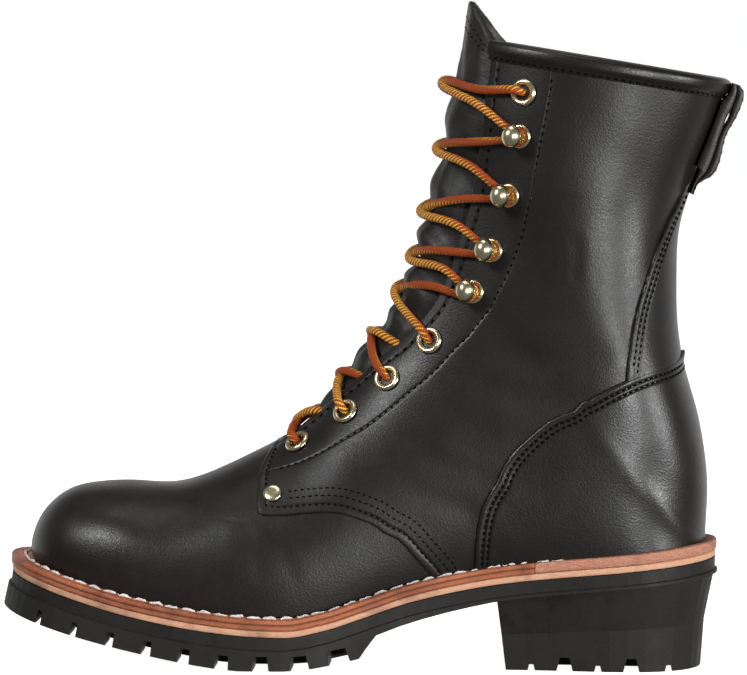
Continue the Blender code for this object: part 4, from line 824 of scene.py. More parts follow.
def mark_of(tree, name):
    """A distance stored on the mesh."""
    return node(tree, "ShaderNodeAttribute", attribute_name=name).outputs["Fac"]


def new_group(name, inputs, outputs):
    """An empty node group with its sockets: name to (kind, default)."""
    group = bpy.data.node_groups.new(name, "ShaderNodeTree")
    for label, (kind, default) in inputs.items():
        socket = group.interface.new_socket(label, in_out="INPUT", socket_type=kind)
        socket.default_value = default
    for label, kind in outputs.items():
        group.interface.new_socket(label, in_out="OUTPUT", socket_type=kind)
    return group, group.nodes.new("NodeGroupInput").outputs, group.nodes.new("NodeGroupOutput").inputs


def leather_grain_group():
    """Pores, fine creases and slow unevenness of a finished hide."""
    group, given, result = new_group(
        "Leather grain",
        {"Scale": ("NodeSocketFloat", 1100.0), "Pore depth": ("NodeSocketFloat", 1.0),
         "Unevenness": ("NodeSocketFloat", 1.0)},
        {"Height": "NodeSocketFloat", "Tone": "NodeSocketFloat"})
    cells = node(group, "ShaderNodeTexVoronoi", ("Vector", place_of(group)), ("Scale", given["Scale"]),
                 ("Randomness", 0.95), feature="F1")
    walls = ranged(group, cells.outputs["Distance"], 0.15, 0.75, 1.0, 0.0)
    wrinkle = noise(group, times(group, given["Scale"], 0.75), 5.0, 0.62)
    slow = noise(group, 42.0, 3.0)
    pores = times(group, walls, given["Pore depth"])
    body = maths(group, "ADD", pores, times(group, wrinkle, 1.6))
    waves = times(group, slow, given["Unevenness"])
    total = maths(group, "ADD", body, times(group, waves, 7.0))
    group.links.new(total, result["Height"])
    group.links.new(ranged(group, times(group, slow, wrinkle), 0.15, 0.40), result["Tone"])
    return group


def edge_rub_and_light_group():
    """The mask of an edge band of rub and painted light: strong at the edge, broken up by a fine noise.
    """
    group, given, result = new_group(
        "Edge rub and painted light",
        {"Distance": ("NodeSocketFloat", 0.01), "Width": ("NodeSocketFloat", 0.0012),
         "Patchiness": ("NodeSocketFloat", 0.6)},
        {"Mask": "NodeSocketFloat"})
    near = maths(group, "DIVIDE", given["Distance"], given["Width"])
    fade = maths(group, "EXPONENT", times(group, near, -1.0))
    whole = maths(group, "SUBTRACT", 1.0, ranged(group, noise(group, 260.0, 3.0), 0.35, 0.62))
    kept = maths(group, "SUBTRACT", 1.0, times(group, given["Patchiness"], whole))
    group.links.new(times(group, fade, kept), result["Mask"])
    return group


def pressed_row_group():
    """The shallow channel that a row of stitches pulls into the leather, and the painted shade in it.
    """
    group, given, result = new_group(
        "Pressed row",
        {"Distance": ("NodeSocketFloat", 1.0), "At": ("NodeSocketFloat", 0.0),
         "Width": ("NodeSocketFloat", 0.0007)},
        {"Height": "NodeSocketFloat", "Shade": "NodeSocketFloat"})
    away = maths(group, "SUBTRACT", given["Distance"], given["At"])
    share = maths(group, "DIVIDE", away, given["Width"])
    fall = maths(group, "EXPONENT", times(group, times(group, share, share), -1.0))
    group.links.new(times(group, fall, -1.0), result["Height"])
    group.links.new(fall, result["Shade"])
    return group


def dust_group():
    """A thin, broken film of dust that lies where the surface looks up."""
    group, given, result = new_group(
        "Dust", {"Amount": ("NodeSocketFloat", 0.3), "Scale": ("NodeSocketFloat", 120.0)},
        {"Mask": "NodeSocketFloat"})
    normal = node(group, "ShaderNodeNewGeometry").outputs["Normal"]
    up = node(group, "ShaderNodeSeparateXYZ", (0, normal)).outputs["Z"]
    lies = ranged(group, up, -0.2, 1.0, 0.15, 1.0)
    film = ranged(group, noise(group, given["Scale"], 6.0, 0.7), 0.40, 0.75)
    group.links.new(times(group, times(group, film, lies), given["Amount"]), result["Mask"])
    return group


def grouped(tree, name, *links):
    """A group placed in a material."""
    made = node(tree, "ShaderNodeGroup", *links, node_tree=bpy.data.node_groups[name])
    return made.outputs


def new_material(name, colour, roughness, **settings):
    """A material with its Principled shader, set to constants."""
    made = bpy.data.materials.new(name)
    made.use_nodes = True
    made.diffuse_color = (*colour[:3], 1.0)
    shader = made.node_tree.nodes["Principled BSDF"]
    shader.inputs["Base Color"].default_value = (*colour[:3], 1.0)
    shader.inputs["Roughness"].default_value = roughness
    for label, value in settings.items():
        shader.inputs[label.replace("_", " ")].default_value = value
    return made, made.node_tree, shader


def bump(tree, shader, height, distance, strength=1.0):
    """Feed a height into the shader's normal."""
    made = node(tree, "ShaderNodeBump", ("Height", height), ("Distance", distance),
                ("Strength", strength))
    tree.links.new(made.outputs["Normal"], shader.inputs["Normal"])


def leather_material(name, colour, roughness, rows=(), scale=1100.0, depth=0.026 * MM, edge_rub_and_light=0.12,
                     unevenness=1.0, edge_rub_and_light_colour=(0.050, 0.040, 0.034), width=1.0 * MM):
    """Oiled black leather: grain, tone, an edge band of rub and painted light, pressed rows with
    painted shade in them and a trace of dust.
    """
    _, tree, shader = new_material(name, colour, roughness, Specular_IOR_Level=0.34)
    grain = grouped(tree, "Leather grain", ("Scale", scale), ("Unevenness", unevenness))
    shade = blended(tree, grain["Tone"], toned(colour, 0.80), toned(colour, 1.45))
    height = grain["Height"]
    mask = grouped(tree, "Edge rub and painted light", ("Distance", mark_of(tree, "edge")), ("Width", width))
    # Edge band: the rub colour partly paints a highlight along the pieces' rounded edges, and on the
    # lining it paints shade.
    shade = blended(tree, times(tree, mask["Mask"], edge_rub_and_light), shade, edge_rub_and_light_colour)
    for mark, place in rows:
        row = grouped(tree, "Pressed row", ("Distance", mark_of(tree, mark)), ("At", place))
        height = maths(tree, "ADD", height, times(tree, row["Height"], 9.0))
        # Painted shade: the colour is darkened along each pressed stitch row.
        shade = blended(tree, times(tree, row["Shade"], 0.20), shade, toned(colour, 0.4))
    dust = grouped(tree, "Dust", ("Amount", 0.035))
    shade = blended(tree, dust["Mask"], shade, (0.30, 0.27, 0.24))
    tree.links.new(shade, shader.inputs["Base Color"])
    gloss = ranged(tree, grain["Tone"], 0.0, 1.0, roughness + 0.06, roughness - 0.05)
    tree.links.new(maths(tree, "ADD", gloss, times(tree, dust["Mask"], 0.8)),
                   shader.inputs["Roughness"])
    bump(tree, shader, height, depth)


def cut_leather_material(name, colour, pale, roughness):
    """The cut, sanded edge of a leather sole layer: streaks along it, pores, stains and painted shade
    in its groove.
    """
    _, tree, shader = new_material(name, colour, roughness, Specular_IOR_Level=0.3)
    streaks = node(tree, "ShaderNodeMapping", ("Vector", place_of(tree)), ("Scale", (1.0, 1.0, 6.0)))
    fibre = noise(tree, 330.0, 6.0, 0.72, streaks.outputs[0])
    shade = blended(tree, ranged(tree, fibre, 0.34, 0.66), colour, pale)
    blotch = ranged(tree, noise(tree, 55.0, 4.0), 0.50, 0.70, 0.0, 0.85)
    shade = blended(tree, blotch, shade, toned(colour, 0.45))
    # Painted shade: the colour is darkened in the welt's groove.
    shade = blended(tree, times(tree, mark_of(tree, "groove"), 0.8), shade, toned(colour, 0.30))
    dust = grouped(tree, "Dust", ("Amount", 0.15))
    shade = blended(tree, dust["Mask"], shade, (0.55, 0.42, 0.32))
    tree.links.new(shade, shader.inputs["Base Color"])
    tree.links.new(ranged(tree, fibre, 0.3, 0.7, roughness - 0.08, roughness + 0.1),
                   shader.inputs["Roughness"])
    bump(tree, shader, fibre, 0.35 * MM, 0.8)


def rubber_material(name, colour):
    """Moulded black rubber: fine pitting, scuffs and pale dust where it faces up."""
    _, tree, shader = new_material(name, colour, 0.62, Specular_IOR_Level=0.25)
    cloud = noise(tree, 70.0, 5.0, 0.65)
    shade = blended(tree, ranged(tree, cloud, 0.35, 0.75), colour, toned(colour, 1.9))
    dust = grouped(tree, "Dust", ("Amount", 0.08), ("Scale", 300.0))
    shade = blended(tree, dust["Mask"], shade, (0.12, 0.11, 0.09))
    tree.links.new(shade, shader.inputs["Base Color"])
    tree.links.new(ranged(tree, cloud, 0.3, 0.7, 0.50, 0.74), shader.inputs["Roughness"])
    bump(tree, shader, noise(tree, 900.0, 4.0), 0.10 * MM, 0.8)


def brass_material(name, colour):
    """Pale plated brass with fine scratches and a little dulling."""
    _, tree, shader = new_material(name, colour, 0.20, Metallic=1.0)
    dull = noise(tree, 420.0, 5.0)
    tone = times(tree, ranged(tree, dull, 0.35, 0.75), 0.5)
    shade = blended(tree, tone, colour, (0.52, 0.42, 0.22))
    tree.links.new(shade, shader.inputs["Base Color"])
    tree.links.new(ranged(tree, dull, 0.3, 0.7, 0.18, 0.28), shader.inputs["Roughness"])
    bump(tree, shader, dull, 0.01 * MM, 0.5)


def lace_material(name, ground, ticks):
    """Round braid in two colours: one side mostly gold, the other brown with gold ticks, and painted
    shade between its strands.
    """
    _, tree, shader = new_material(name, ground, 0.55, Specular_IOR_Level=0.25)
    along = mark_of(tree, "along")
    phase = times(tree, along, 2.0 * math.pi / LACE_PITCH)
    straight = times(tree, maths(tree, "SINE", phase), mark_of(tree, "braid_x"))
    slant = times(tree, maths(tree, "COSINE", phase), mark_of(tree, "braid_y"))
    left = maths(tree, "ADD", straight, slant)
    right = maths(tree, "SUBTRACT", straight, slant)
    plait = maths(tree, "ABSOLUTE", times(tree, left, right))
    twist = times(tree, along, 0.060)
    facing = maths(tree, "ADD", times(tree, maths(tree, "COSINE", twist), mark_of(tree, "turn_x")),
                   times(tree, maths(tree, "SINE", twist), mark_of(tree, "turn_y")))
    picked = maths(tree, "ADD", times(tree, facing, 0.60), left)
    shade = blended(tree, ranged(tree, picked, 0.46, 0.74), ground, ticks)
    # Painted shade: the colour is darkened in the crevices between the braid's strands.
    shade = blended(tree, ranged(tree, plait, 0.0, 0.30, 0.85, 0.0), shade, toned(ground, 0.22))
    fuzz = noise(tree, 2600.0, 3.0)
    shade = blended(tree, ranged(tree, fuzz, 0.35, 0.75, 0.0, 0.15), shade, toned(ground, 1.5))
    tree.links.new(shade, shader.inputs["Base Color"])
    bump(tree, shader, maths(tree, "ADD", plait, times(tree, fuzz, 0.4)), 0.30 * MM, 0.9)


def thread_material(name, colour, roughness, gloss=0.5):
    """Waxed sewing thread with its twist."""
    _, tree, shader = new_material(name, colour, roughness, Specular_IOR_Level=gloss)
    twist = noise(tree, 1900.0, 2.0)
    shade = blended(tree, ranged(tree, twist, 0.35, 0.65), toned(colour, 0.55), colour)
    tree.links.new(shade, shader.inputs["Base Color"])
    bump(tree, shader, twist, 0.12 * MM, 0.8)


def board_material(name, colour):
    """The insole's cover: brown split leather with a short nap."""
    _, tree, shader = new_material(name, colour, 0.85, Sheen_Weight=0.15)
    nap = noise(tree, 700.0, 6.0, 0.7)
    mixed = times(tree, nap, maths(tree, "ADD", noise(tree, 60.0, 3.0), 0.5))
    shade = blended(tree, ranged(tree, mixed, 0.3, 0.7), toned(colour, 0.6), colour)
    tree.links.new(shade, shader.inputs["Base Color"])
    bump(tree, shader, nap, 0.2 * MM, 0.7)


def material(name):
    """A material that the materials operator has made."""
    return bpy.data.materials[name]


# Leather pieces


def quarter_grid(side, start_shift=0.0, first_v=THROAT_SHARE, top=float(COLLAR_ROW), rows=128,
                 columns=88):
    """Sections and v over one quarter, from its front edge to the collar and the back."""
    across = tight(columns, 0.13, at_end=False)
    down = tight(rows, 0.21, at_end=False)
    v = first_v + 0.75 * across
    for _ in range(12):
        u = monotone(QUARTER_FRONT["v"], QUARTER_FRONT["section"], np.clip(v, 0.18, 1.0))
        v = first_v + (low_end(u, side) - first_v) * across
    start = u + start_shift
    sections = start[None, :] + (top - start[None, :]) * down[:, None]
    ends = low_end(sections, side)
    shares = first_v + (ends - first_v) * across[None, :]
    return sections, side * shares


def quarter(side, made_of):
    """One quarter: its front edge over the vamp, its facing and its side up to the collar."""
    u, v = quarter_grid(side)
    base = form(u, v)
    front = distance_to(base, resampled(base[0], EDGE_STEP))
    facing = distance_to(base, resampled(base[:, 0], EDGE_STEP))
    edge = np.minimum(front, facing)
    second = setback_of(u, v, side) - monotone(
        SECOND_SEAM["section"], SECOND_SEAM["setback"], np.clip(u, 11.9, 31.6)) * MM
    relief = crease_depth(base, SHAFT_CREASES) * np.clip((edge - 6 * MM) / (12 * MM), 0.0, 1.0)
    relief += 0.12 * MM * soft_waves(base, 0.055, side) * np.clip(edge / (15 * MM), 0.0, 1.0)
    for field in (front - QUARTER_ROWS[0] * MM, facing - FIRST_SEAM, second):
        relief -= 0.05 * MM * bell(field, 1.1 * MM)
    outer = on_form(u, v, relief - rounded(edge, 0.7 * MM))
    inner = on_form(u, v, np.full(u.shape, -VAMP_STEP + 0.05 * MM))
    word = "outer" if side < 0 else "inner"
    marks = {"edge": edge, "front": front, "facing": facing, "second": second}
    sew_quarter(u, v, front, facing, second)
    return shell(f"quarter_{word}", outer, inner, [made_of], marks)


def sew_quarter(u, v, front, facing, second):
    """The stitch rows of one quarter."""
    for k, place in enumerate(QUARTER_ROWS):
        line = level_line(front, u, v, place * MM)
        if k:
            behind = form(line[:, 0], line[:, 1])[:, 0] - TOE_X - RIVET_ALONG * LAST_LENGTH
            line = line[behind > 5.5 * MM]
        else:
            line = line[np.abs(line[:, 1]) > 0.235]
        sew(line, 0.0, "quarter")
    line = level_line(facing, u, v, FIRST_SEAM, 1)
    sew(line[(line[:, 0] > 12.4) & (line[:, 0] < 31.3)], 0.0, "facing")
    line = level_line(second, u, v, 0.0, 1)
    sew(line[(line[:, 0] > 12.0) & (line[:, 0] < 31.3)], 0.0, "second")


def lining(made_of):
    """The lining of both quarters, seen at the facings and inside the collar."""
    sheets = []
    for side in (OUTER, INNER):
        u, v = quarter_grid(side, 1.3, 0.203, COLLAR_ROW - 0.25, 72, 48)
        base = form(u, v)
        facing = distance_to(base, resampled(base[:, 0], 0.5 * MM))
        outer = on_form(u, v, np.full(u.shape, -VAMP_STEP - 0.02 * MM) - rounded(facing, 0.4 * MM))
        inner = on_form(u, v, np.full(u.shape, -QUARTER_WALL) + rounded(facing, 0.4 * MM))
        sheets.append(sheet_parts(outer, inner, {"edge": facing}))
    return joined_sheets("lining", sheets, made_of)


def vamp(made_of):
    """The vamp, from the toe to under the quarters and the tongue."""
    across = np.linspace(-1.0, 1.0, 141)
    down = tight(118, 0.13, at_start=False)
    start = 1.03
    u_end = np.full(across.shape, 13.0)
    for _ in range(12):
        ends = np.where(across < 0.0, low_end(u_end, OUTER), low_end(u_end, INNER))
        near = np.abs(across) * ends
        under = monotone(QUARTER_FRONT["v"], QUARTER_FRONT["section"], np.clip(near, 0.2, 1.0)) + 1.1
        throat = 12.1 + 0.8 * np.clip(near / THROAT_SHARE, 0.0, 1.0) ** 4
        u_end = np.where(near < THROAT_SHARE, throat, under)
    u = start + (u_end[None, :] - start) * down[:, None]
    ends = np.where(across[None, :] < 0.0, low_end(u, OUTER), low_end(u, INNER))
    v = across[None, :] * ends
    base = form(u, v)
    rear = distance_to(base, resampled(base[-1], 0.5 * MM))
    low = np.minimum(walked(base, 1), walked(base[:, ::-1], 1)[:, ::-1])
    relief = crease_depth(base, VAMP_CREASES) + 0.10 * MM * soft_waves(base, 0.05, 2.0)
    relief *= np.clip(low / (14 * MM), 0.0, 1.0)
    outer = on_form(u, v, relief - VAMP_STEP - rounded(rear, 0.5 * MM))
    inner = on_form(u, v, np.full(u.shape, -QUARTER_WALL))
    marks = {"edge": np.minimum(rear, 1.0), "low": low}
    return shell("vamp", outer, inner, [made_of], marks)


def tongue_offset(u, v):
    """How far the tongue lies from the form: under the facings, proud between them."""
    under = -QUARTER_WALL - TONGUE_GAP
    below_binding = np.clip((u - COLLAR_ROW + 3.6) / 1.6, 0.0, 1.0)
    under = under - below_binding * (BINDING_WALL + TONGUE_GAP)
    inside = np.maximum(1.0 - (np.abs(v) / THROAT_SHARE) ** 2.4, 0.0)
    proud = MM * monotone(TONGUE_PUFFS["section"], TONGUE_PUFFS["height"], u)
    return under + (proud - under) * inside


def tongue_relief(u, v):
    """Long soft folds down the tongue, which fade under the facings."""
    inside = np.clip(1.0 - (np.abs(v) / (1.15 * THROAT_SHARE)) ** 2, 0.0, 1.0)
    folds = (np.sin(v * 46.0 + 1.4 * np.sin(u * 0.9)) * (0.55 + 0.45 * np.sin(u * 1.3 + 1.0))
             + 0.7 * np.sin(v * 83.0 + 2.0 + 1.3 * np.cos(u * 1.1)))
    pinch = np.sin(u * 5.1 + 9.0 * v) * np.sin(u * 2.3 + 1.0)
    return MM * (0.36 * folds + 0.10 * pinch) * np.clip(inside + 0.10, 0.0, 1.0)


def tongue_top(across):
    """The section at which the tongue ends, over its width from -1 to 1."""
    fall = np.where(np.asarray(across) < 0.0, TONGUE_FALL[0], TONGUE_FALL[1])
    return COLLAR_ROW + TONGUE_RISE * (1.0 - fall * np.abs(across) ** 2.2)


def tongue_reach(u):
    """How far round the tongue reaches at each section."""
    share = np.clip((np.asarray(u, float) - 28.5) / 4.5, 0.0, 1.0)
    return TONGUE_REACH + (TONGUE_TOP_REACH - TONGUE_REACH) * share * share * (3.0 - 2.0 * share)


def tongue(made_of):
    """The tongue: from under the vamp to a rounded tip above the collar."""
    across = tight(64, 0.09) * 2.0 - 1.0
    shares = tight(190, 0.21, at_start=False)
    top = tongue_top(across)
    body = TONGUE_START + (TONGUE_TAPER_ROW - TONGUE_START) * np.minimum(shares / TONGUE_TAPER_AT, 1.0)
    past = np.maximum(shares[:, None] - TONGUE_TAPER_AT, 0.0) / 0.2
    u = body[:, None] + past * (top[None, :] - TONGUE_TAPER_ROW)
    v = tongue_reach(u) * across[None, :]
    base = form(u, v)
    rim = np.concatenate((base[:, 0], base[-1], base[::-1, -1]))
    edge = distance_to(base, resampled(rim, 0.5 * MM))
    held = tongue_offset(np.minimum(u, COLLAR_ROW + 1.0), v)
    relief = tongue_relief(u, v)
    covered = np.clip((np.abs(v) - 0.9 * THROAT_SHARE) / 0.05, 0.0, 1.0)
    relief = relief * (1.0 - covered) + np.minimum(relief, 0.0) * covered
    outer = on_form(u, v, held + relief - rounded(edge, 1.2 * MM))
    inner = on_form(u, v, held - TONGUE_WALL + rounded(edge, 1.0 * MM))
    for at in TONGUE_ROWS:
        line = []
        for k in np.linspace(-0.86, 0.86, 80):
            top_u = float(tongue_top(k))
            line.append((top_u - at * MM / 0.0075, float(tongue_reach(top_u)) * k * 0.96))
        line = np.array(line)
        sew(line, tongue_offset(*line.T) + tongue_relief(*line.T), "tongue")
    return shell("tongue_leather", outer, inner, [made_of], {"edge": edge}, 60.0)


def both_sides(name, build, made_of):
    """One piece from the same sheet on both sides, joined down the back."""
    sheets = []
    for side in (OUTER, INNER):
        points, faces, marks = sheet_parts(*build(side))
        open_faces = [face for face in faces
                      if not all(abs(points[k][1]) < 1e-6 and points[k][0] > 0.08 for k in face)]
        sheets.append((points, open_faces, marks))
    return weld(joined_sheets(name, sheets, made_of), 2e-6)


def counter_sheet(side):
    """The counter's grid on one side, and its marks."""
    knots_u = np.array(COUNTER_FRONT["section"])
    knots_v = np.array(COUNTER_FRONT["v"])
    steps = np.hypot(np.diff(knots_u) * 7.5, np.diff(knots_v) * 105.0)
    run = np.concatenate(([0.0], np.cumsum(steps)))
    at = tight(96, 0.14) * run[-1]
    even = np.linspace(0.0, run[-1], 97)
    line = np.column_stack((smooth_curve(run, knots_u, even), smooth_curve(run, knots_v, even)))
    for _ in range(EDGE_SMOOTHING):
        line[1:-1] = 0.5 * line[1:-1] + 0.25 * (line[:-2] + line[2:])
    edge_u = np.clip(np.interp(at, even, line[:, 0]), knots_u[0], knots_u[-1])
    edge_v = np.minimum(np.interp(at, even, line[:, 1]), 1.0)
    ends = low_end(edge_u, side)
    edge_v = np.minimum(edge_v, ends)
    across = tight(64, 0.06, at_end=False)
    u = np.broadcast_to(edge_u[:, None], (len(edge_u), len(across)))
    v = side * (edge_v[:, None] + (ends - edge_v)[:, None] * across[None, :])
    base = form(u, v)
    edge = distance_to(base, resampled(base[:, 0], EDGE_STEP))
    bulge = 0.4 * MM * np.clip((edge - 8 * MM) / (20 * MM), 0.0, 1.0)
    relief = bulge - rounded(edge, 1.0 * MM) + 0.10 * MM * soft_waves(base, 0.04, 3.0)
    flare = bell(edge, 3.5 * MM) * bell(base[..., 1], 9.0 * MM)
    relief += 1.5 * MM * flare * (base[..., 2] > 0.1)
    for place in COUNTER_ROWS:
        relief -= 0.12 * MM * bell(edge - place * MM, 0.9 * MM)
    outer = on_form(u, v, OVERLAY_LIFT + OVERLAY_WALL + relief)
    inner = on_form(u, v, np.full(u.shape, OVERLAY_LIFT))
    for place in COUNTER_ROWS:
        sew(level_line(edge, u, v, place * MM, 1), OVERLAY_LIFT + OVERLAY_WALL + 0.02 * MM, "counter")
    return outer, inner, {"edge": edge}


def backstay_sheet(side):
    """The backstay's grid on one side, and its marks."""
    across = tight(20, 0.02, at_end=False)
    up = tight(80, 0.10, at_start=False)
    counter_v = np.array(COUNTER_FRONT["v"][COUNTER_REAR])
    counter_u = np.array(COUNTER_FRONT["section"][COUNTER_REAR])
    v = np.full(across.shape, 0.8)
    for _ in range(20):
        start = np.interp(v, counter_v, counter_u) - 0.6
        reach = monotone(BACKSTAY_EDGE["section"], BACKSTAY_EDGE["reach"], np.clip(start, 22.5, 30.6))
        v = 1.0 - reach * (1.0 - across)
    u = start[None, :] + (BACKSTAY_TOP - start[None, :]) * up[:, None]
    reach = monotone(BACKSTAY_EDGE["section"], BACKSTAY_EDGE["reach"], np.clip(u, 22.5, 30.6))
    v = 1.0 - reach * (1.0 - across[None, :])
    base = form(u, side * v)
    edge = distance_to(base, resampled(np.concatenate((base[:, 0], base[-1])), EDGE_STEP))
    relief = -rounded(edge, 0.8 * MM)
    for place in BACKSTAY_ROWS:
        relief -= 0.10 * MM * bell(edge - place * MM, 0.8 * MM)
    lowered = np.clip((u - start[None, :]) / 0.7, 0.0, 1.0)
    outer = on_form(u, side * v, OVERLAY_LIFT + (OVERLAY_WALL + relief) * (0.25 + 0.75 * lowered))
    inner = on_form(u, side * v, np.full(u.shape, 0.05 * MM))
    for place in BACKSTAY_ROWS:
        line = level_line(edge, u, side * v, place * MM, 1)
        sew(line[line[:, 0] > 24.3], OVERLAY_LIFT + OVERLAY_WALL - 0.06 * MM, "backstay")
    return outer, inner, {"edge": edge}


def collar_binding(made_of):
    """The rolled edge of the collar, from one side of the throat round the back to the other."""
    shares = np.linspace(THROAT_SHARE, 1.0, 110)
    vs = np.concatenate((-shares, shares[::-1][1:]))
    wall = BINDING_WALL
    inside = -QUARTER_WALL - GAP
    profile = [(0.1 * MM, -BINDING_DEPTH), (0.45 * wall, -BINDING_DEPTH),
               (0.75 * wall, -BINDING_DEPTH + 0.4 * MM), (0.75 * wall, -5.7 * MM),
               (1.0 * wall, -5.2 * MM), (GAP + 1.25 * wall, -4.4 * MM),
               (GAP + 1.35 * wall, -3.0 * MM), (GAP + 1.30 * wall, -1.6 * MM)]
    half = 0.5 * (GAP + 1.2 * wall - (inside - wall))
    middle = 0.5 * (GAP + 1.2 * wall + inside - wall)
    profile += [(middle + half * math.cos(turn), -0.7 * MM + 1.7 * MM * math.sin(turn))
                for turn in np.linspace(0.0, math.pi, 9)]
    profile += [(inside - wall, -3.0 * MM), (inside - wall, -BINDING_DEPTH + 0.6 * MM),
                (inside - 0.5 * wall, -BINDING_DEPTH), (inside + 0.1 * MM, -BINDING_DEPTH)]
    rings = []
    edge = []
    for v in vs:
        ring, up, out = binding_frame(v)
        rings.append([ring + out * a + up * b for a, b in profile])
        edge.append([abs(b + BINDING_DEPTH) for _, b in profile])
    middle = len(shares) - 1
    rings[middle] = [(a + b) / 2.0 for a, b in zip(rings[middle - 1], rings[middle + 1])]
    sew_binding(vs)
    return ring_tube("collar_roll", rings, [made_of], {"edge": edge}, sharp=70.0)


def binding_frame(v):
    """The collar's edge at v, with its directions up and out."""
    top = point_on(COLLAR_ROW, v)
    up = (top - point_on(COLLAR_ROW - 0.5, v)).normalized()
    out = Vector(form_normal(np.array([float(COLLAR_ROW)]), np.array([v]))[0])
    out = (out - up * out.dot(up)).normalized()
    return top, up, out


def sew_binding(vs):
    """The stitch row along the lower edge of the collar's roll."""
    line = []
    normals = []
    for v in vs[2:-2]:
        top, up, out = binding_frame(v)
        line.append(top + out * (0.75 * BINDING_WALL + 0.03 * MM) - up * (BINDING_DEPTH - 0.95 * MM))
        normals.append(out)
    keep_row(np.array(line), np.array(normals), "collar")


def back_line(z):
    """x of the boot's back at height z."""
    return float(smooth_curve(ROWS[CORNER_ROW:, 1], ROWS[CORNER_ROW:, 0], z))


def loop_point(up, stand):
    """A point on the middle line: up the loop, and off the back by stand."""
    z = ROWS[COLLAR_ROW, 1] + (up - 1.0) * LOOP_LENGTH
    ahead = Vector((back_line(z + 0.002) - back_line(z - 0.002), 0.0, 0.004)).normalized()
    return Vector((back_line(z), 0.0, z)) + Vector((ahead.z, 0.0, -ahead.x)) * stand


def strap_rings(lows, highs):
    """Rings across a strap between two side view lines, with rounded edges."""
    section = ((-1.0, 0.5), (-0.985, 0.15), (-0.94, 0.0), (0.0, -0.02), (0.94, 0.0), (0.985, 0.15),
               (1.0, 0.5), (0.985, 0.85), (0.94, 1.0), (0.0, 1.03), (-0.94, 1.0), (-0.985, 0.85))
    half = LOOP_WIDTH / 2.0
    return np.array([[low + (high - low) * level + Vector((0.0, x * half, 0.0)) for x, level in section]
                     for low, high in zip(lows, highs)])


def pull_loop(made_of):
    """The pull loop: two runs of one folded strap, open where a finger goes in."""
    seat = GAP + OVERLAY_WALL + GAP
    ups = np.linspace(0.02, 1.005, 90)
    stand = seat + LOOP_STAND * smooth_curve(LOOP_SHAPE["up"], LOOP_SHAPE["stand"], ups)
    wide = 1.1 * MM * bell(ups - 0.71, 0.065)
    parting = seat + (stand - seat) * 0.48
    rests = MM * np.interp(ups, (0.0, 0.235, 0.25, 0.84, 0.85, 0.88, 0.905),
                           (1.72, 1.72, 0.0, 0.0, 0.9, 1.0, 2.05))
    straps = []
    for low, high in ((rests, parting - 0.5 * wide - 0.02 * MM),
                      (parting + 0.5 * wide + 0.02 * MM, stand)):
        lows = [loop_point(up, at) for up, at in zip(ups, low)]
        highs = [loop_point(up, at) for up, at in zip(ups, high)]
        straps.append(strap_rings(lows, highs))
    points, faces = joined((rings.reshape(-1, 3), capped_faces(*rings.shape[:2])) for rings in straps)
    edge = np.abs(np.abs(np.array(points)[:, 1]) - LOOP_WIDTH / 2.0)
    for side in (OUTER, INNER):
        line = np.array([loop_point(up, at) + Vector((0, side * (LOOP_WIDTH / 2.0 - 2.6 * MM), 0))
                         for up, at in zip(ups, stand)])
        ahead = np.gradient(line, axis=0)
        normal = np.column_stack((ahead[:, 2], np.zeros(len(line)), -ahead[:, 0]))
        normal /= np.linalg.norm(normal, axis=1)[:, None]
        keep_row(line, normal, "loop")
    return mesh_object("pull_strap", points, faces, [made_of], {"edge": edge}, 60.0)


# Sole edge


def sole_edge(grow=0.0):
    """The sole's plan outline and its outward directions."""
    margin = WELT_MARGIN * monotone(SOLE_MARGIN["along"], SOLE_MARGIN["welt"], along_of(PLAN[:, 0]))
    outward = plan_outward(PLAN)
    if np.mean(np.sum(outward * PLAN, axis=1)) < 0.0:
        outward = -outward
    outline = PLAN + outward * (margin + grow)[:, None]
    return outline, outward


def edge_run(start, stop, count, grow=0.0):
    """Points and directions along the sole's edge between two shares of its length, smoothly."""
    outline, outward = sole_edge(grow)
    closed = np.column_stack((outline, outward))
    closed = resampled(np.vstack((closed, closed[:1])), 0.2 * MM)[:-1]
    outline, outward = closed[:, :2], closed[:, 2:]
    low, high = outline[:, 0].min(), outline[:, 0].max()
    share = (outline[:, 0] - low) / (high - low)
    inside = (share >= start - 1e-9) & (share <= stop + 1e-9)
    toe = int(np.argmin(outline[:, 0]))
    order = np.roll(np.arange(len(outline)), -toe)
    if start > 0.0:
        heel = int(np.argmax(outline[:, 0]))
        order = np.roll(np.arange(len(outline)), -heel)
    half = len(order) // 2
    order = np.concatenate((order[half:], order[:half]))
    kept = [k for k in order if inside[k]]
    full = start <= 0.0 and stop >= 1.0
    points = np.column_stack((outline[kept], outward[kept]))
    if full:
        points = np.vstack((points, points[:1]))
    dense = resampled(points, walked(points[:, :2])[-1] / count)
    dense[:, 2:] /= np.linalg.norm(dense[:, 2:], axis=1)[:, None]
    return (dense[:-1] if full else dense), full


def edge_strip(name, start, stop, top, thick, profile, made_of, inner_margin, count, groove=None):
    """A strip of the sole's edge: its side profile is (in or out, share of height)."""
    run, full = edge_run(start, stop, count)
    plan = run[:, :2]
    outward = run[:, 2:]
    hole = plan - outward * inner_margin
    rings = []
    marks = []
    high = top(plan[:, 0])
    hole_high = top(hole[:, 0])
    for k in range(len(plan)):
        ring = []
        mark = []
        for out, share in profile:
            x, y = plan[k] + outward[k] * out
            ring.append((x, y, high[k] - thick * (1.0 - share)))
            mark.append(0.0 if groove is None else math.exp(-((share - groove) / 0.09) ** 2))
        ring.append((hole[k, 0], hole[k, 1], hole_high[k]))
        ring.append((hole[k, 0], hole[k, 1], hole_high[k] - thick))
        rings.append(ring)
        marks.append(mark + [0.0, 0.0])
    return ring_tube(name, rings, [made_of], {"groove": marks}, closed=full, sharp=60.0)


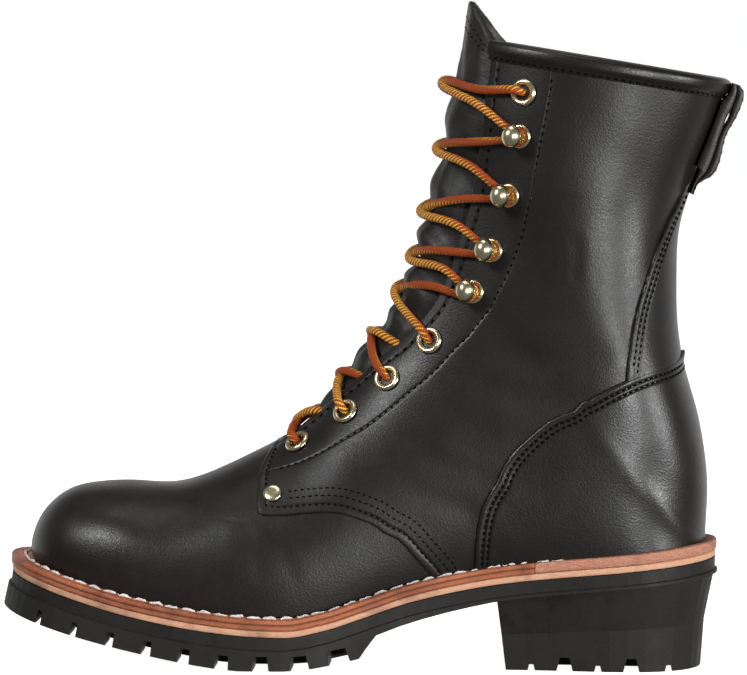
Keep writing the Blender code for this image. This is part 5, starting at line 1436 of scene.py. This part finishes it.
def welt(made_of):
    """The welt: two ridges with a groove between, from the toe to the heel's strip."""
    profile = [(-0.35 * MM, 0.0), (-0.02 * MM, 0.06), (0.0, 0.14), (-0.02 * MM, 0.40),
               (-0.28 * MM, 0.45), (-0.34 * MM, 0.50), (-0.28 * MM, 0.55), (-0.02 * MM, 0.60),
               (0.0, 0.70), (-0.05 * MM, 0.88), (-0.30 * MM, 0.97), (-0.65 * MM, 1.0),
               (-2.2 * MM, 1.0), (-2.5 * MM, 0.955), (-2.8 * MM, 1.0)]
    return edge_strip("welt_strip", 0.0, RAND_AT, seat_level, WELT_THICK, profile, made_of,
                      WELT_MARGIN + WELT_INNER - 1.0 * MM, 520, 0.50)


def heel_rand(made_of):
    """The rougher single strip round the heel."""
    profile = [(-0.40 * MM, 0.0), (-0.05 * MM, 0.08), (0.0, 0.3), (0.05 * MM, 0.6), (-0.02 * MM, 0.86),
               (-0.25 * MM, 0.96), (-0.60 * MM, 1.0), (-2.4 * MM, 1.0)]
    return edge_strip("rand_strip", RAND_AT + 0.0009, 1.0, seat_level, WELT_THICK, profile, made_of,
                      WELT_MARGIN * 0.7 + WELT_INNER - 1.0 * MM, 260)


def midsole(made_of):
    """The midsole: one full layer between the welt and the rubber."""
    run, _ = edge_run(0.0, 1.0, 560, -0.5 * MM)
    plan = run[:, :2]
    outward = run[:, 2:]
    top = seat_level(plan[:, 0]) - WELT_THICK - GAP
    rings = []
    for out, share in ((-14.0 * MM, 1.0), (-0.35 * MM, 1.0), (-0.05 * MM, 0.9), (0.0, 0.6), (0.0, 0.35),
                       (-0.06 * MM, 0.1), (-0.4 * MM, 0.0), (-14.0 * MM, 0.0)):
        points = plan + outward * out
        level = top if abs(out) <= 1.0 * MM else seat_level(points[:, 0]) - WELT_THICK - GAP
        rings.append(np.column_stack((points, level - MIDSOLE_THICK * (1.0 - share))))
    rings = np.array(rings)
    count = rings.shape[1]
    faces = grid_faces(len(rings), count, wrap=True)
    points = np.concatenate((rings.reshape(-1, 3), spine_points(rings[0]), spine_points(rings[-1])))
    first = len(rings) * count
    half = count // 2
    for level, start in ((0, first), (len(rings) - 1, first + half + 1)):
        for k in range(count):
            n = (k + 1) % count
            a = start + min(k, count - k)
            b = start + min(n, count - n)
            corners = [level * count + k, level * count + n, b, a]
            if a == b:
                corners.pop()
            faces.append(tuple(corners))
    marks = {"groove": np.zeros(len(points))}
    return weld(mesh_object("midsole_layer", points, faces, [made_of], marks, 60.0), 1e-6)


def spine_points(ring):
    """Points along the middle of a closed outline, one for each pair of its points."""
    count = len(ring)
    half = count // 2
    return np.array([(ring[k % count] + ring[(count - k) % count]) / 2.0 for k in range(half + 1)])


def uneven(rings):
    """Stitches pulled a little out of line, each in its own way."""
    chance = np.random.default_rng(STITCH_SEED)
    count, length = rings.shape[:2]
    middle = rings.mean(axis=(1, 2), keepdims=True)
    fat = chance.uniform(0.85, 1.2, (count, 1, 1, 1))
    spread = chance.normal(0.0, 0.22 * MM, (count, length, 1, 3))
    tilt = chance.normal(0.0, 0.07, (count, 1, 1))
    centres = rings.mean(axis=2, keepdims=True)
    turned = centres - middle
    turned[..., 0] -= tilt * (centres - middle)[..., 1]
    turned[..., 1] += tilt * (centres - middle)[..., 0]
    return middle + turned + spread + (rings - centres) * fat


def sew_welt():
    """The thick pale stitches along the welt's top."""
    run, _ = edge_run(0.0, 0.80, 900)
    inset = MM * np.interp(run[:, 0], (0.0, 0.055), (6.0, 3.4))
    run[:, :2] -= inset[:, None] * run[:, 2:]
    x = run[:, 0]
    line = np.column_stack((run[:, :2], seat_level(x)))
    ahead = np.gradient(x)
    slope = np.gradient(line[:, 2]) / np.maximum(np.abs(ahead), 1e-5) * np.sign(ahead)
    normals = np.column_stack((-slope * 0.9, np.zeros(len(x)), np.ones(len(x))))
    normals /= np.linalg.norm(normals, axis=1)[:, None]
    SEWN["pale"].append(uneven(stitch_points(line, normals, "welt")))


# Metal


def seated(u, v, stand):
    """A matrix that stands on the form: Z along its normal, X towards the throat."""
    normal = Vector(form_normal(np.array([u]), np.array([v]))[0])
    ahead = Vector((-1.0, 0.0, 0.15))
    across = normal.cross(ahead).normalized()
    ahead = across.cross(normal).normalized()
    turned = Matrix((ahead, across, normal)).transposed().to_4x4()
    return Matrix.Translation(point_on(u, v, stand)) @ turned


def facing_places(table):
    """Side, section and v of each eyelet or hook, on both sides."""
    found = []
    for side in (OUTER, INNER):
        for u, setback in zip(table["section"], table["setback"]):
            found.append((side, u, facing_v(side, setback * FACING_SETBACK, u)))
    return found


def turned_part(profile, sides=36):
    """Points and faces of a turned part; a profile that starts and ends at radius 0 is closed."""
    points = []
    faces = []
    count = len(profile)
    for k in range(sides):
        turn = 2.0 * math.pi * k / sides
        points += [(r * math.cos(turn), r * math.sin(turn), z) for r, z in profile]
    for k in range(sides):
        n = (k + 1) % sides
        for j in range(count):
            m = (j + 1) % count
            if profile[j][0] < 1e-9 and profile[m][0] < 1e-9:
                continue
            faces.append((k * count + j, n * count + j, n * count + m, k * count + m))
    return points, faces


def bent_profile(points, steps=6):
    """A profile smoothed through its points."""
    points = np.array(points)
    run = np.arange(len(points), dtype=float)
    at = np.linspace(0.0, run[-1], steps * (len(points) - 1) + 1)
    return [(max(float(r), 0.0), float(z)) for r, z in
            zip(smooth_curve(run, points[:, 0], at), smooth_curve(run, points[:, 1], at))]


def metal_object(name, parts, matrices, made_of):
    """Copies of a metal part at its places, as one piece."""
    points, faces = joined(([matrix @ Vector(point) for point in part_points], part_faces)
                           for matrix in matrices for part_points, part_faces in parts)
    return weld(mesh_object(name, points, faces, [made_of], sharp=60.0), 1e-7)


def eyelet_part():
    """A rolled eyelet: a domed rim that turns down into its bore."""
    rim = bent_profile([(EYELET_RADIUS, 0.0), (EYELET_RADIUS - 0.05 * MM, 0.45 * MM),
                        (EYELET_RADIUS - 0.75 * MM, EYELET_RIM - 0.05 * MM),
                        (0.5 * (EYELET_RADIUS + EYELET_BORE) - 0.1 * MM, EYELET_RIM),
                        (EYELET_BORE + 0.45 * MM, 0.85 * MM), (EYELET_BORE, 0.1 * MM)], 4)
    return turned_part(rim + [(EYELET_BORE, -QUARTER_WALL), (EYELET_BARREL, -QUARTER_WALL),
                              (EYELET_BARREL, 0.0)], 40)


def hook_parts():
    """A speed hook: a stepped round base, a neck and a ball that leans towards the throat."""
    base = bent_profile([(0.0, 0.55 * MM), (2.0 * MM, 0.6 * MM), (3.3 * MM, 0.75 * MM),
                         (4.1 * MM, 1.25 * MM), (4.6 * MM, 1.3 * MM), (HOOK_BASE_RADIUS, 0.8 * MM),
                         (HOOK_BASE_RADIUS, 0.0)], 4)
    base_part = turned_part(base + [(0.0, 0.0)], 40)
    radius = HOOK_BALL_RADIUS + 0.35 * MM
    stand = HOOK_STAND + 0.5 * MM
    ball = [(radius * math.sin(t), stand - radius * math.cos(t)) for t in np.linspace(0.0, math.pi, 21)]
    ball_points, ball_faces = turned_part([(max(r, 0.0), z) for r, z in ball], 32)
    ball_points = [(x + HOOK_FORWARD, HOOK_BALL_TALL * y, z) for x, y, z in ball_points]
    neck = bent_profile([(0.0, 0.4 * MM), (1.9 * MM, 0.7 * MM), (1.5 * MM, 2.6 * MM),
                         (1.7 * MM, HOOK_STAND - 0.8 * MM), (0.0, HOOK_STAND)], 4)
    neck_points, neck_faces = turned_part(neck, 24)
    neck_points = [(x + HOOK_NECK_FORWARD, y, z) for x, y, z in neck_points]
    return [base_part, (ball_points, ball_faces), (neck_points, neck_faces)]


def rivet_part():
    """A domed rivet with a sharp flange."""
    dome = bent_profile([(0.0, 1.10 * MM), (1.9 * MM, 1.05 * MM), (3.1 * MM, 0.85 * MM),
                         (3.8 * MM, 0.50 * MM)], 4)
    return turned_part(dome + [(RIVET_RADIUS, 0.2 * MM), (RIVET_RADIUS, 0.0), (0.0, 0.0)], 36)


def rivet_places():
    """Section and v of the rivet on each side, from its place in the side view."""
    x = TOE_X + RIVET_ALONG * LAST_LENGTH
    z = float(seat_level(x)) + RIVET_UP * INSTEP_HEIGHT
    found = []
    us, vs = np.meshgrid(np.arange(9.0, 15.0, 0.1), np.arange(0.2, 0.95, 0.01), indexing="ij")
    for side in (OUTER, INNER):
        points = form(us, side * vs)
        away = np.hypot(points[..., 0] - x, points[..., 2] - z)
        i, k = np.unravel_index(int(np.argmin(away)), away.shape)
        found.append((side, float(us[i, k]), side * float(vs[i, k])))
    return found


# Lace


def smooth_path(stops, step):
    """A smooth line through stops, in equal steps, that keeps their further columns."""
    stops = np.array(stops)
    steps = np.linalg.norm(np.diff(stops[:, :3], axis=0), axis=1)
    run = np.concatenate(([0.0], np.cumsum(np.sqrt(steps))))
    at = np.linspace(0.0, run[-1], 60 * len(stops))
    dense = np.column_stack([smooth_curve(run, stops[:, c], at) for c in range(3)]
                            + [np.interp(at, run, stops[:, c]) for c in range(3, stops.shape[1])])
    far = walked(dense[:, :3])
    even = np.linspace(0.0, far[-1], int(round(far[-1] / step)) + 1)
    return np.column_stack([np.interp(even, far, dense[:, c]) for c in range(dense.shape[1])])


def lace_tube(path, radius):
    """Rings round a lace's path, whose last column is its thickness, and its marks."""
    line = path[:, :3]
    ahead = np.gradient(line, axis=0)
    ahead /= np.linalg.norm(ahead, axis=1)[:, None]
    across = np.zeros_like(line)
    last = np.cross(ahead[0], (0.0, 0.0, 1.0))
    for k in range(len(line)):
        last = last - ahead[k] * np.dot(last, ahead[k])
        last /= np.linalg.norm(last)
        across[k] = last
    up = np.cross(ahead, across)
    turns = np.linspace(0.0, 2.0 * math.pi, 25)[:-1]
    run = walked(line) / MM
    size = radius * path[:, 3:4] * (1.0 + 0.03 * np.sin(run[:, None] * 1.9 + 2.0 * turns[None, :]))
    ring = (across[:, None, :] * np.cos(turns)[None, :, None]
            + up[:, None, :] * np.sin(turns)[None, :, None])
    points = line[:, None, :] + ring * size[..., None]
    around = np.broadcast_to(turns[None, :], size.shape)
    marks = {"along": np.broadcast_to(run[:, None], size.shape), "turn_x": np.cos(around),
             "turn_y": np.sin(around), "braid_x": np.cos(4.0 * around), "braid_y": np.sin(4.0 * around)}
    return points, marks


def held_stop(matrix, x, y, z, size=1.0):
    """A stop in a hook's or eyelet's own frame, in millimetres, with the lace's thickness."""
    return (*(matrix @ Vector((x * MM, y * MM, z * MM))), size)


def form_stop(u, v, height, size=1.0):
    """A stop over the form, with its height in millimetres and the lace's thickness."""
    return (*point_on(u, v, height * MM), size)


def lace_routes():
    """The runs of the lace: each goes from one eyelet over the tongue to the next holder."""
    eyelets = {(side, k % 5): seated(u, v, SEAT_GAP)
               for k, (side, u, v) in enumerate(facing_places(EYELET_PLACES))}
    hooks = {(side, k % 4): seated(u, v, SEAT_GAP)
             for k, (side, u, v) in enumerate(facing_places(HOOK_PLACES))}
    routes = []
    for side in (OUTER, INNER):
        for k in range(3):
            routes.append(lower_run(eyelets[side, k], side, EYELET_PLACES["section"][k]))
        routes.append(shaft_run(eyelets, hooks, side))
    return routes


def lower_run(eyelet, side, u):
    """Out of a lower eyelet, over the facing's edge, across, and under the other facing."""
    high = 0.6 + 0.35 * (u - EYELET_PLACES["section"][0]) + (0.0 if side < 0 else 1.3)
    return [
        held_stop(eyelet, 0.0, 0.0, -2.6, 0.85), held_stop(eyelet, 0.3, 0.3 * side, 0.4, 0.9),
        held_stop(eyelet, 1.7, 2.1 * side, 2.5), form_stop(u - 0.12, side * 0.225, 2.1),
        form_stop(u - 0.08, side * 0.15, 0.5 * high + 1.2), form_stop(u + 0.05, side * 0.04, high),
        form_stop(u + 0.15, -side * 0.04, high), form_stop(u + 0.40, -side * 0.11, high),
        form_stop(u + 0.66, -side * 0.17, 0.4), form_stop(u + 0.84, -side * 0.208, -2.1, 0.9),
        form_stop(u + 0.90, -side * 0.245, -4.2, 0.85),
    ]


def shaft_run(eyelets, hooks, side):
    """From the fourth eyelet round the hooks, turn by turn, to the top eyelet."""
    start = eyelets[side, 3]
    stops = [held_stop(start, 0.0, 0.0, -2.6, 0.85), held_stop(start, 0.4, 0.4 * side, 0.6, 0.9),
             held_stop(start, 2.2, 3.0 * side, 2.9)]
    here = side
    last_u = EYELET_PLACES["section"][3]
    edge = 0.97 * THROAT_SHARE
    for k, middle in enumerate(CROSSING_SECTIONS):
        over = -here
        crown = (0.9 if here > 0 else 2.6) + (3.0 if k == 4 else 0.0)
        goal_u = HOOK_PLACES["section"][k] if k < 4 else EYELET_PLACES["section"][4]
        stops.append(form_stop(middle + 0.62 * (last_u - middle), here * edge, 2.4))
        stops.append(form_stop(middle - 0.06, here * 0.045, crown))
        stops.append(form_stop(middle + 0.40, -here * 0.045, crown))
        stops.append(form_stop(middle + 0.56 * (goal_u - middle), over * edge, 2.4))
        if k < 4:
            stops += hook_wrap(hooks[over, k], over)
            last_u = goal_u + 0.25
        else:
            stops += [held_stop(eyelets[over, 4], 3.2, 0.5 * over, 2.9),
                      held_stop(eyelets[over, 4], 0.9, 0.1 * over, 1.3, 0.9),
                      held_stop(eyelets[over, 4], 0.0, 0.0, -2.8, 0.85)]
        here = over
    return stops


def hook_wrap(hook, side):
    """Round a hook's neck, behind its ball, from below to above, pressed flat there."""
    centre = HOOK_NECK_FORWARD / MM
    stops = []
    for turn, size in ((62, 0.85), (100, 0.76), (140, 0.72), (180, 0.72), (220, 0.72), (260, 0.76),
                       (298, 0.85)):
        angle = math.radians(turn)
        reach = 2.6 if 90 < turn < 270 else 3.0
        stops.append(held_stop(hook, centre + reach * math.cos(angle), -side * reach * math.sin(angle),
                               2.35, size))
    return stops


def lace_pieces(made_of, radius):
    """All runs of the lace on each strand, as one piece a strand."""
    routes = lace_routes()
    pieces = []
    for name, chosen in (("lace_first", routes[:4]), ("lace_second", routes[4:])):
        tubes = [lace_tube(smooth_path(stops, 0.55 * MM), radius) for stops in chosen]
        points, faces = joined((rings.reshape(-1, 3), capped_faces(*rings.shape[:2]))
                               for rings, _ in tubes)
        marks = {}
        for k, (_, found) in enumerate(tubes):
            for mark, values in found.items():
                shift = LACE_SHIFT * k if mark == "along" else 0.0
                marks.setdefault(mark, []).extend((np.ravel(values) + shift).tolist())
        pieces.append(mesh_object(name, points, faces, [made_of], marks))
    return pieces


# Settings


class BootLeatherSettings(bpy.types.PropertyGroup):
    """Colours and gloss of the upper's leather."""

    black: bpy.props.FloatVectorProperty(
        name="Leather", description="Colour of the vamp and the quarters", subtype="COLOR", size=3,
        min=0.0, max=1.0, default=(0.0070, 0.0058, 0.0052))
    overlay: bpy.props.FloatVectorProperty(
        name="Overlays", description="Colour of the counter, backstay, collar roll and loop",
        subtype="COLOR", size=3, min=0.0, max=1.0, default=(0.0070, 0.0059, 0.0054))
    lining: bpy.props.FloatVectorProperty(
        name="Lining", description="Colour of the lining inside the shaft", subtype="COLOR", size=3,
        min=0.0, max=1.0, default=(0.150, 0.062, 0.040))
    roughness: bpy.props.FloatProperty(
        name="Roughness", description="Roughness of the black leather", min=0.1, max=1.0,
        subtype="FACTOR", default=0.37)


class BootSoleSettings(bpy.types.PropertyGroup):
    """Colours of the sole's layers."""

    welt: bpy.props.FloatVectorProperty(
        name="Welt", description="Colour of the welt", subtype="COLOR", size=3, min=0.0, max=1.0,
        default=(0.27, 0.066, 0.026))
    midsole: bpy.props.FloatVectorProperty(
        name="Midsole", description="Colour of the midsole's edge", subtype="COLOR", size=3,
        min=0.0, max=1.0, default=(0.50, 0.25, 0.155))
    rubber: bpy.props.FloatVectorProperty(
        name="Rubber", description="Colour of the outsole and heel", subtype="COLOR", size=3,
        min=0.0, max=1.0, default=(0.0060, 0.0056, 0.0045))
    bevel: bpy.props.FloatProperty(
        name="Worn edges", description="Rounding of the rubber's edges", unit="LENGTH",
        min=0.0, max=0.002, default=0.0004)


class BootTrimSettings(bpy.types.PropertyGroup):
    """Lace, thread and metal."""

    lace_radius: bpy.props.FloatProperty(
        name="Lace radius", description="Radius of the round lace", unit="LENGTH", min=0.001,
        max=0.004, default=0.0018)
    lace: bpy.props.FloatVectorProperty(
        name="Lace", description="Ground colour of the lace", subtype="COLOR", size=3, min=0.0,
        max=1.0, default=(0.36, 0.058, 0.009))
    ticks: bpy.props.FloatVectorProperty(
        name="Lace ticks", description="Colour of the lace's second strand", subtype="COLOR", size=3,
        min=0.0, max=1.0, default=(0.86, 0.55, 0.075))
    brass: bpy.props.FloatVectorProperty(
        name="Brass", description="Colour of eyelets, hooks and rivets", subtype="COLOR", size=3,
        min=0.0, max=1.0, default=(0.83, 0.74, 0.50))


class BootStageSettings(bpy.types.PropertyGroup):
    """Floor and light."""

    floor: bpy.props.FloatVectorProperty(
        name="Floor", description="Colour of the floor", subtype="COLOR", size=3, min=0.0, max=1.0,
        default=(0.93, 0.93, 0.93))
    light: bpy.props.FloatProperty(
        name="Light", description="Strength of the room's light", min=0.0, max=10.0, default=1.0)


# Operators


def dressed(piece, *nodes, slot=None):
    """Put a piece on the boot in the place of the CAD nodes that it stands for."""
    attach(piece, "root")
    if nodes:
        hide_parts(*nodes)
    return piece


class BOOT_OT_materials(bpy.types.Operator):
    """Make every material and the node groups that they share"""

    bl_idname = "boot.materials"
    bl_label = "Materials"

    def execute(self, context):
        leather = context.scene.boot_leather
        sole = context.scene.boot_sole
        trim = context.scene.boot_trim
        leather_grain_group()
        edge_rub_and_light_group()
        pressed_row_group()
        dust_group()
        rough = leather.roughness
        leather_material("vamp leather", leather.black, rough, edge_rub_and_light=0.15)
        leather_material("quarter leather", leather.black, rough,
                         (("front", QUARTER_ROWS[0] * MM), ("facing", FIRST_SEAM), ("second", 0.0)))
        leather_material("tongue leather", leather.black, rough + 0.10, scale=850.0,
                         depth=0.040 * MM, unevenness=1.6, edge_rub_and_light=0.15)
        leather_material("counter leather", leather.overlay, rough - 0.04,
                         [("edge", place * MM) for place in COUNTER_ROWS], width=0.5 * MM)
        leather_material("backstay leather", leather.overlay, rough,
                         [("edge", place * MM) for place in BACKSTAY_ROWS], edge_rub_and_light=0.10, width=0.5 * MM)
        leather_material("collar leather", leather.overlay, rough - 0.05, edge_rub_and_light=0.10)
        leather_material("strap leather", leather.overlay, rough + 0.04, edge_rub_and_light=0.35, width=0.6 * MM)
        # Painted shade: the lining is darkened nearly to black near its front edge, in the gap between
        # the tongue and the facings.
        leather_material("lining leather", leather.lining, 0.7, edge_rub_and_light=0.95, width=6.0 * MM,
                         edge_rub_and_light_colour=(0.02, 0.017, 0.016))
        cut_leather_material("welt leather", sole.welt, (0.44, 0.14, 0.060), 0.50)
        cut_leather_material("midsole leather", sole.midsole, (0.62, 0.36, 0.23), 0.72)
        cut_leather_material("rand leather", (0.29, 0.105, 0.062), (0.50, 0.24, 0.16), 0.66)
        rubber_material("sole rubber", sole.rubber)
        brass_material("plated brass", trim.brass)
        lace_material("lace braid", trim.lace, trim.ticks)
        thread_material("dark thread", (0.0016, 0.0014, 0.0013), 0.85, 0.06)
        thread_material("pale thread", (0.72, 0.70, 0.67), 0.7)
        board_material("insole cover", (0.24, 0.13, 0.08))
        return {"FINISHED"}


class BOOT_OT_vamp(bpy.types.Operator):
    """Make the vamp over the toes"""

    bl_idname = "boot.vamp"
    bl_label = "Vamp"

    def execute(self, context):
        dressed(vamp(material("vamp leather")), "upper", slot="black_leather")
        return {"FINISHED"}


class BOOT_OT_quarters(bpy.types.Operator):
    """Make both quarters and their lining"""

    bl_idname = "boot.quarters"
    bl_label = "Quarters and lining"

    def execute(self, context):
        for side in (OUTER, INNER):
            dressed(quarter(side, material("quarter leather")), "upper", slot="black_leather")
        dressed(lining(material("lining leather")), "upper")
        return {"FINISHED"}


class BOOT_OT_tongue(bpy.types.Operator):
    """Make the tongue"""

    bl_idname = "boot.tongue"
    bl_label = "Tongue"

    def execute(self, context):
        dressed(tongue(material("tongue leather")), "tongue", slot="tongue_leather")
        return {"FINISHED"}


class BOOT_OT_overlays(bpy.types.Operator):
    """Make the counter, the backstay, the collar's roll and the pull loop"""

    bl_idname = "boot.overlays"
    bl_label = "Counter, backstay, collar and loop"

    def execute(self, context):
        slot = "overlay_leather"
        dressed(both_sides("counter_leather", counter_sheet, material("counter leather")), "counter",
                slot=slot)
        dressed(both_sides("backstay_leather", backstay_sheet, material("backstay leather")),
                "backstay", slot=slot)
        dressed(collar_binding(material("collar leather")), "collar_binding", slot=slot)
        dressed(pull_loop(material("strap leather")), "pull_loop", slot=slot)
        return {"FINISHED"}


class BOOT_OT_sole_edge(bpy.types.Operator):
    """Make the welt, the heel's strip and the midsole"""

    bl_idname = "boot.sole_edge"
    bl_label = "Welt and midsole"

    def execute(self, context):
        dressed(welt(material("welt leather")), "welt", slot="welt_leather")
        dressed(heel_rand(material("rand leather")), "heel_rand", slot="midsole_leather")
        dressed(midsole(material("midsole leather")), "midsole", slot="midsole_leather")
        return {"FINISHED"}


class BOOT_OT_rubber(bpy.types.Operator):
    """Finish the outsole, the heel and the insole"""

    bl_idname = "boot.rubber"
    bl_label = "Outsole, heel and insole"

    def execute(self, context):
        for name, finish in (("outsole", "sole rubber"), ("heel", "sole rubber"),
                             ("insole", "insole cover")):
            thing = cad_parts[name]
            for slot in thing.material_slots:
                slot.material = material(finish)
            if name != "insole":
                bevel = thing.modifiers.new("worn edges", "BEVEL")
                bevel.width = context.scene.boot_sole.bevel
                bevel.segments = 2
                bevel.limit_method = "ANGLE"
                bevel.angle_limit = math.radians(35.0)
        return {"FINISHED"}


class BOOT_OT_metal(bpy.types.Operator):
    """Make the eyelets, the speed hooks and the rivets"""

    bl_idname = "boot.metal"
    bl_label = "Eyelets, hooks and rivets"

    def execute(self, context):
        brass = material("plated brass")
        groups = (
            ("eyelets", [eyelet_part()], facing_places(EYELET_PLACES), "eyelet", 5),
            ("speed_hooks", hook_parts(), facing_places(HOOK_PLACES), "hook", 4),
            ("rivets", [rivet_part()], rivet_places(), "rivet", 0),
        )
        for name, parts, places, node_name, count in groups:
            matrices = [seated(u, v, SEAT_GAP) for _, u, v in places]
            nodes = []
            for word in ("outer", "inner"):
                if count:
                    nodes += [f"{node_name}_{word}_{k + 1}" for k in range(count)]
                else:
                    nodes.append(f"{node_name}_{word}")
            dressed(metal_object(name, parts, matrices, brass), *nodes, slot="brass")
        return {"FINISHED"}


class BOOT_OT_lace(bpy.types.Operator):
    """Lace the boot"""

    bl_idname = "boot.lace"
    bl_label = "Lace"

    def execute(self, context):
        nodes = [f"lace_crossing_{k}" for k in range(1, 6)] + [f"lace_bar_{k}" for k in range(1, 4)]
        for piece in lace_pieces(material("lace braid"), context.scene.boot_trim.lace_radius):
            dressed(piece, *nodes, slot="lace_cord")
        return {"FINISHED"}


class BOOT_OT_stitches(bpy.types.Operator):
    """Make the stitches that the pieces have asked for"""

    bl_idname = "boot.stitches"
    bl_label = "Stitches"

    def execute(self, context):
        sew_welt()
        dressed(stitch_object("seam_stitches", SEWN["dark"], material("dark thread")))
        dressed(stitch_object("welt_stitches", SEWN["pale"], material("pale thread")))
        return {"FINISHED"}


def area_light(name, place, aim, size, power):
    """A soft box that looks at a point."""
    light = bpy.data.lights.new(name, "AREA")
    light.shape = "RECTANGLE"
    light.size, light.size_y = size
    light.energy = power
    thing = bpy.data.objects.new(name, light)
    direction = Vector(aim) - Vector(place)
    thing.location = place
    thing.rotation_euler = direction.to_track_quat("-Z", "Y").to_euler()
    bpy.context.scene.collection.objects.link(thing)


def level_floor(colour):
    """The pale floor, level and wide, so that it hides the boot from no side."""
    points = [(-6.0, -6.0, 0.0), (6.0, -6.0, 0.0), (6.0, 6.0, 0.0), (-6.0, 6.0, 0.0)]
    faces = [(0, 1, 2, 3)]
    made, tree, shader = new_material("studio floor", colour, 0.9, Emission_Color=(1.0, 1.0, 1.0, 1.0),
                                      Emission_Strength=0.96)
    shade = blended(tree, noise(tree, 3.0, 2.0), colour, toned(colour, 0.985))
    tree.links.new(shade, shader.inputs["Base Color"])
    floor = mesh_object("studio_floor", points, faces, [made])
    floor.visible_diffuse = False
    floor.visible_glossy = False


def camera():
    """The camera, at the photograph's angle."""
    yaw, pitch, roll = (math.radians(angle) for angle in CAMERA["yaw, pitch and roll"])
    ahead = Vector((math.cos(pitch) * math.sin(yaw), math.cos(pitch) * math.cos(yaw), -math.sin(pitch)))
    right = ahead.cross(Vector((0.0, 0.0, 1.0))).normalized()
    turned = Matrix((right, right.cross(ahead), -ahead)).transposed().to_4x4()
    data = bpy.data.cameras.new("camera")
    data.sensor_width = 36.0
    data.sensor_fit = "HORIZONTAL"
    data.lens = CAMERA["lens"]
    data.shift_x, data.shift_y = CAMERA["shift"]
    data.clip_start = 0.05
    thing = bpy.data.objects.new("camera", data)
    thing.matrix_world = Matrix.Translation(CAMERA["place"]) @ turned @ Matrix.Rotation(roll, 4, "Z")
    bpy.context.scene.collection.objects.link(thing)
    bpy.context.scene.camera = thing


class BOOT_OT_stage(bpy.types.Operator):
    """Set up the floor, the light and the camera"""

    bl_idname = "boot.stage"
    bl_label = "Stage"

    def execute(self, context):
        stage = context.scene.boot_stage
        camera()
        level_floor(tuple(stage.floor))
        world = bpy.data.worlds.new("room")
        world.use_nodes = True
        tree = world.node_tree
        seen = node(tree, "ShaderNodeLightPath").outputs["Is Camera Ray"]
        direction = node(tree, "ShaderNodeTexCoord").outputs["Generated"]
        parts = node(tree, "ShaderNodeSeparateXYZ", (0, direction)).outputs
        low = ranged(tree, parts["Z"], 0.15, 0.50, 1.0, 0.0)
        behind = maths(tree, "MULTIPLY", parts["Y"], low)
        backdrop = ranged(tree, behind, 0.05, 0.75, 0.15 * stage.light, 1.0 * stage.light)
        strength = maths(tree, "MAXIMUM", seen, backdrop)
        background = tree.nodes["Background"]
        background.inputs["Color"].default_value = (1.0, 1.0, 1.0, 1.0)
        tree.links.new(strength, background.inputs["Strength"])
        context.scene.world = world
        context.scene.view_settings.view_transform = "Standard"
        for name, place, size, power in SOFT_BOXES:
            area_light(name, place, LIT_POINT, size, power * stage.light)
        return {"FINISHED"}


class BOOT_PT_pieces(bpy.types.Panel):
    """The boot's pieces and settings"""

    bl_label = "Logger boot"
    bl_idname = "BOOT_PT_pieces"
    bl_space_type = "VIEW_3D"
    bl_region_type = "UI"
    bl_category = "Boot"

    def draw(self, context):
        for operator in STEPS:
            self.layout.operator(operator.bl_idname)
        for settings in ("boot_leather", "boot_sole", "boot_trim", "boot_stage"):
            group = getattr(context.scene, settings)
            for key in group.__annotations__:
                self.layout.prop(group, key)


STEPS = (BOOT_OT_stage, BOOT_OT_materials, BOOT_OT_vamp, BOOT_OT_quarters, BOOT_OT_tongue,
         BOOT_OT_overlays, BOOT_OT_sole_edge, BOOT_OT_rubber, BOOT_OT_metal, BOOT_OT_lace,
         BOOT_OT_stitches)
SETTINGS = {
    "boot_leather": BootLeatherSettings,
    "boot_sole": BootSoleSettings,
    "boot_trim": BootTrimSettings,
    "boot_stage": BootStageSettings,
}


def register():
    """Register the settings, the operators and the panel."""
    for name, settings in SETTINGS.items():
        bpy.utils.register_class(settings)
        setattr(bpy.types.Scene, name, bpy.props.PointerProperty(type=settings))
    for operator in STEPS:
        bpy.utils.register_class(operator)
    bpy.utils.register_class(BOOT_PT_pieces)


def unregister():
    """Take everything out again."""
    bpy.utils.unregister_class(BOOT_PT_pieces)
    for operator in reversed(STEPS):
        bpy.utils.unregister_class(operator)
    for name, settings in SETTINGS.items():
        delattr(bpy.types.Scene, name)
        bpy.utils.unregister_class(settings)


def main():
    """Build the whole boot."""
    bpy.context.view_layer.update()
    register()
    for operator in STEPS:
        group, name = operator.bl_idname.split(".")
        getattr(getattr(bpy.ops, group), name)()


if __name__ == "__main__":
    main()
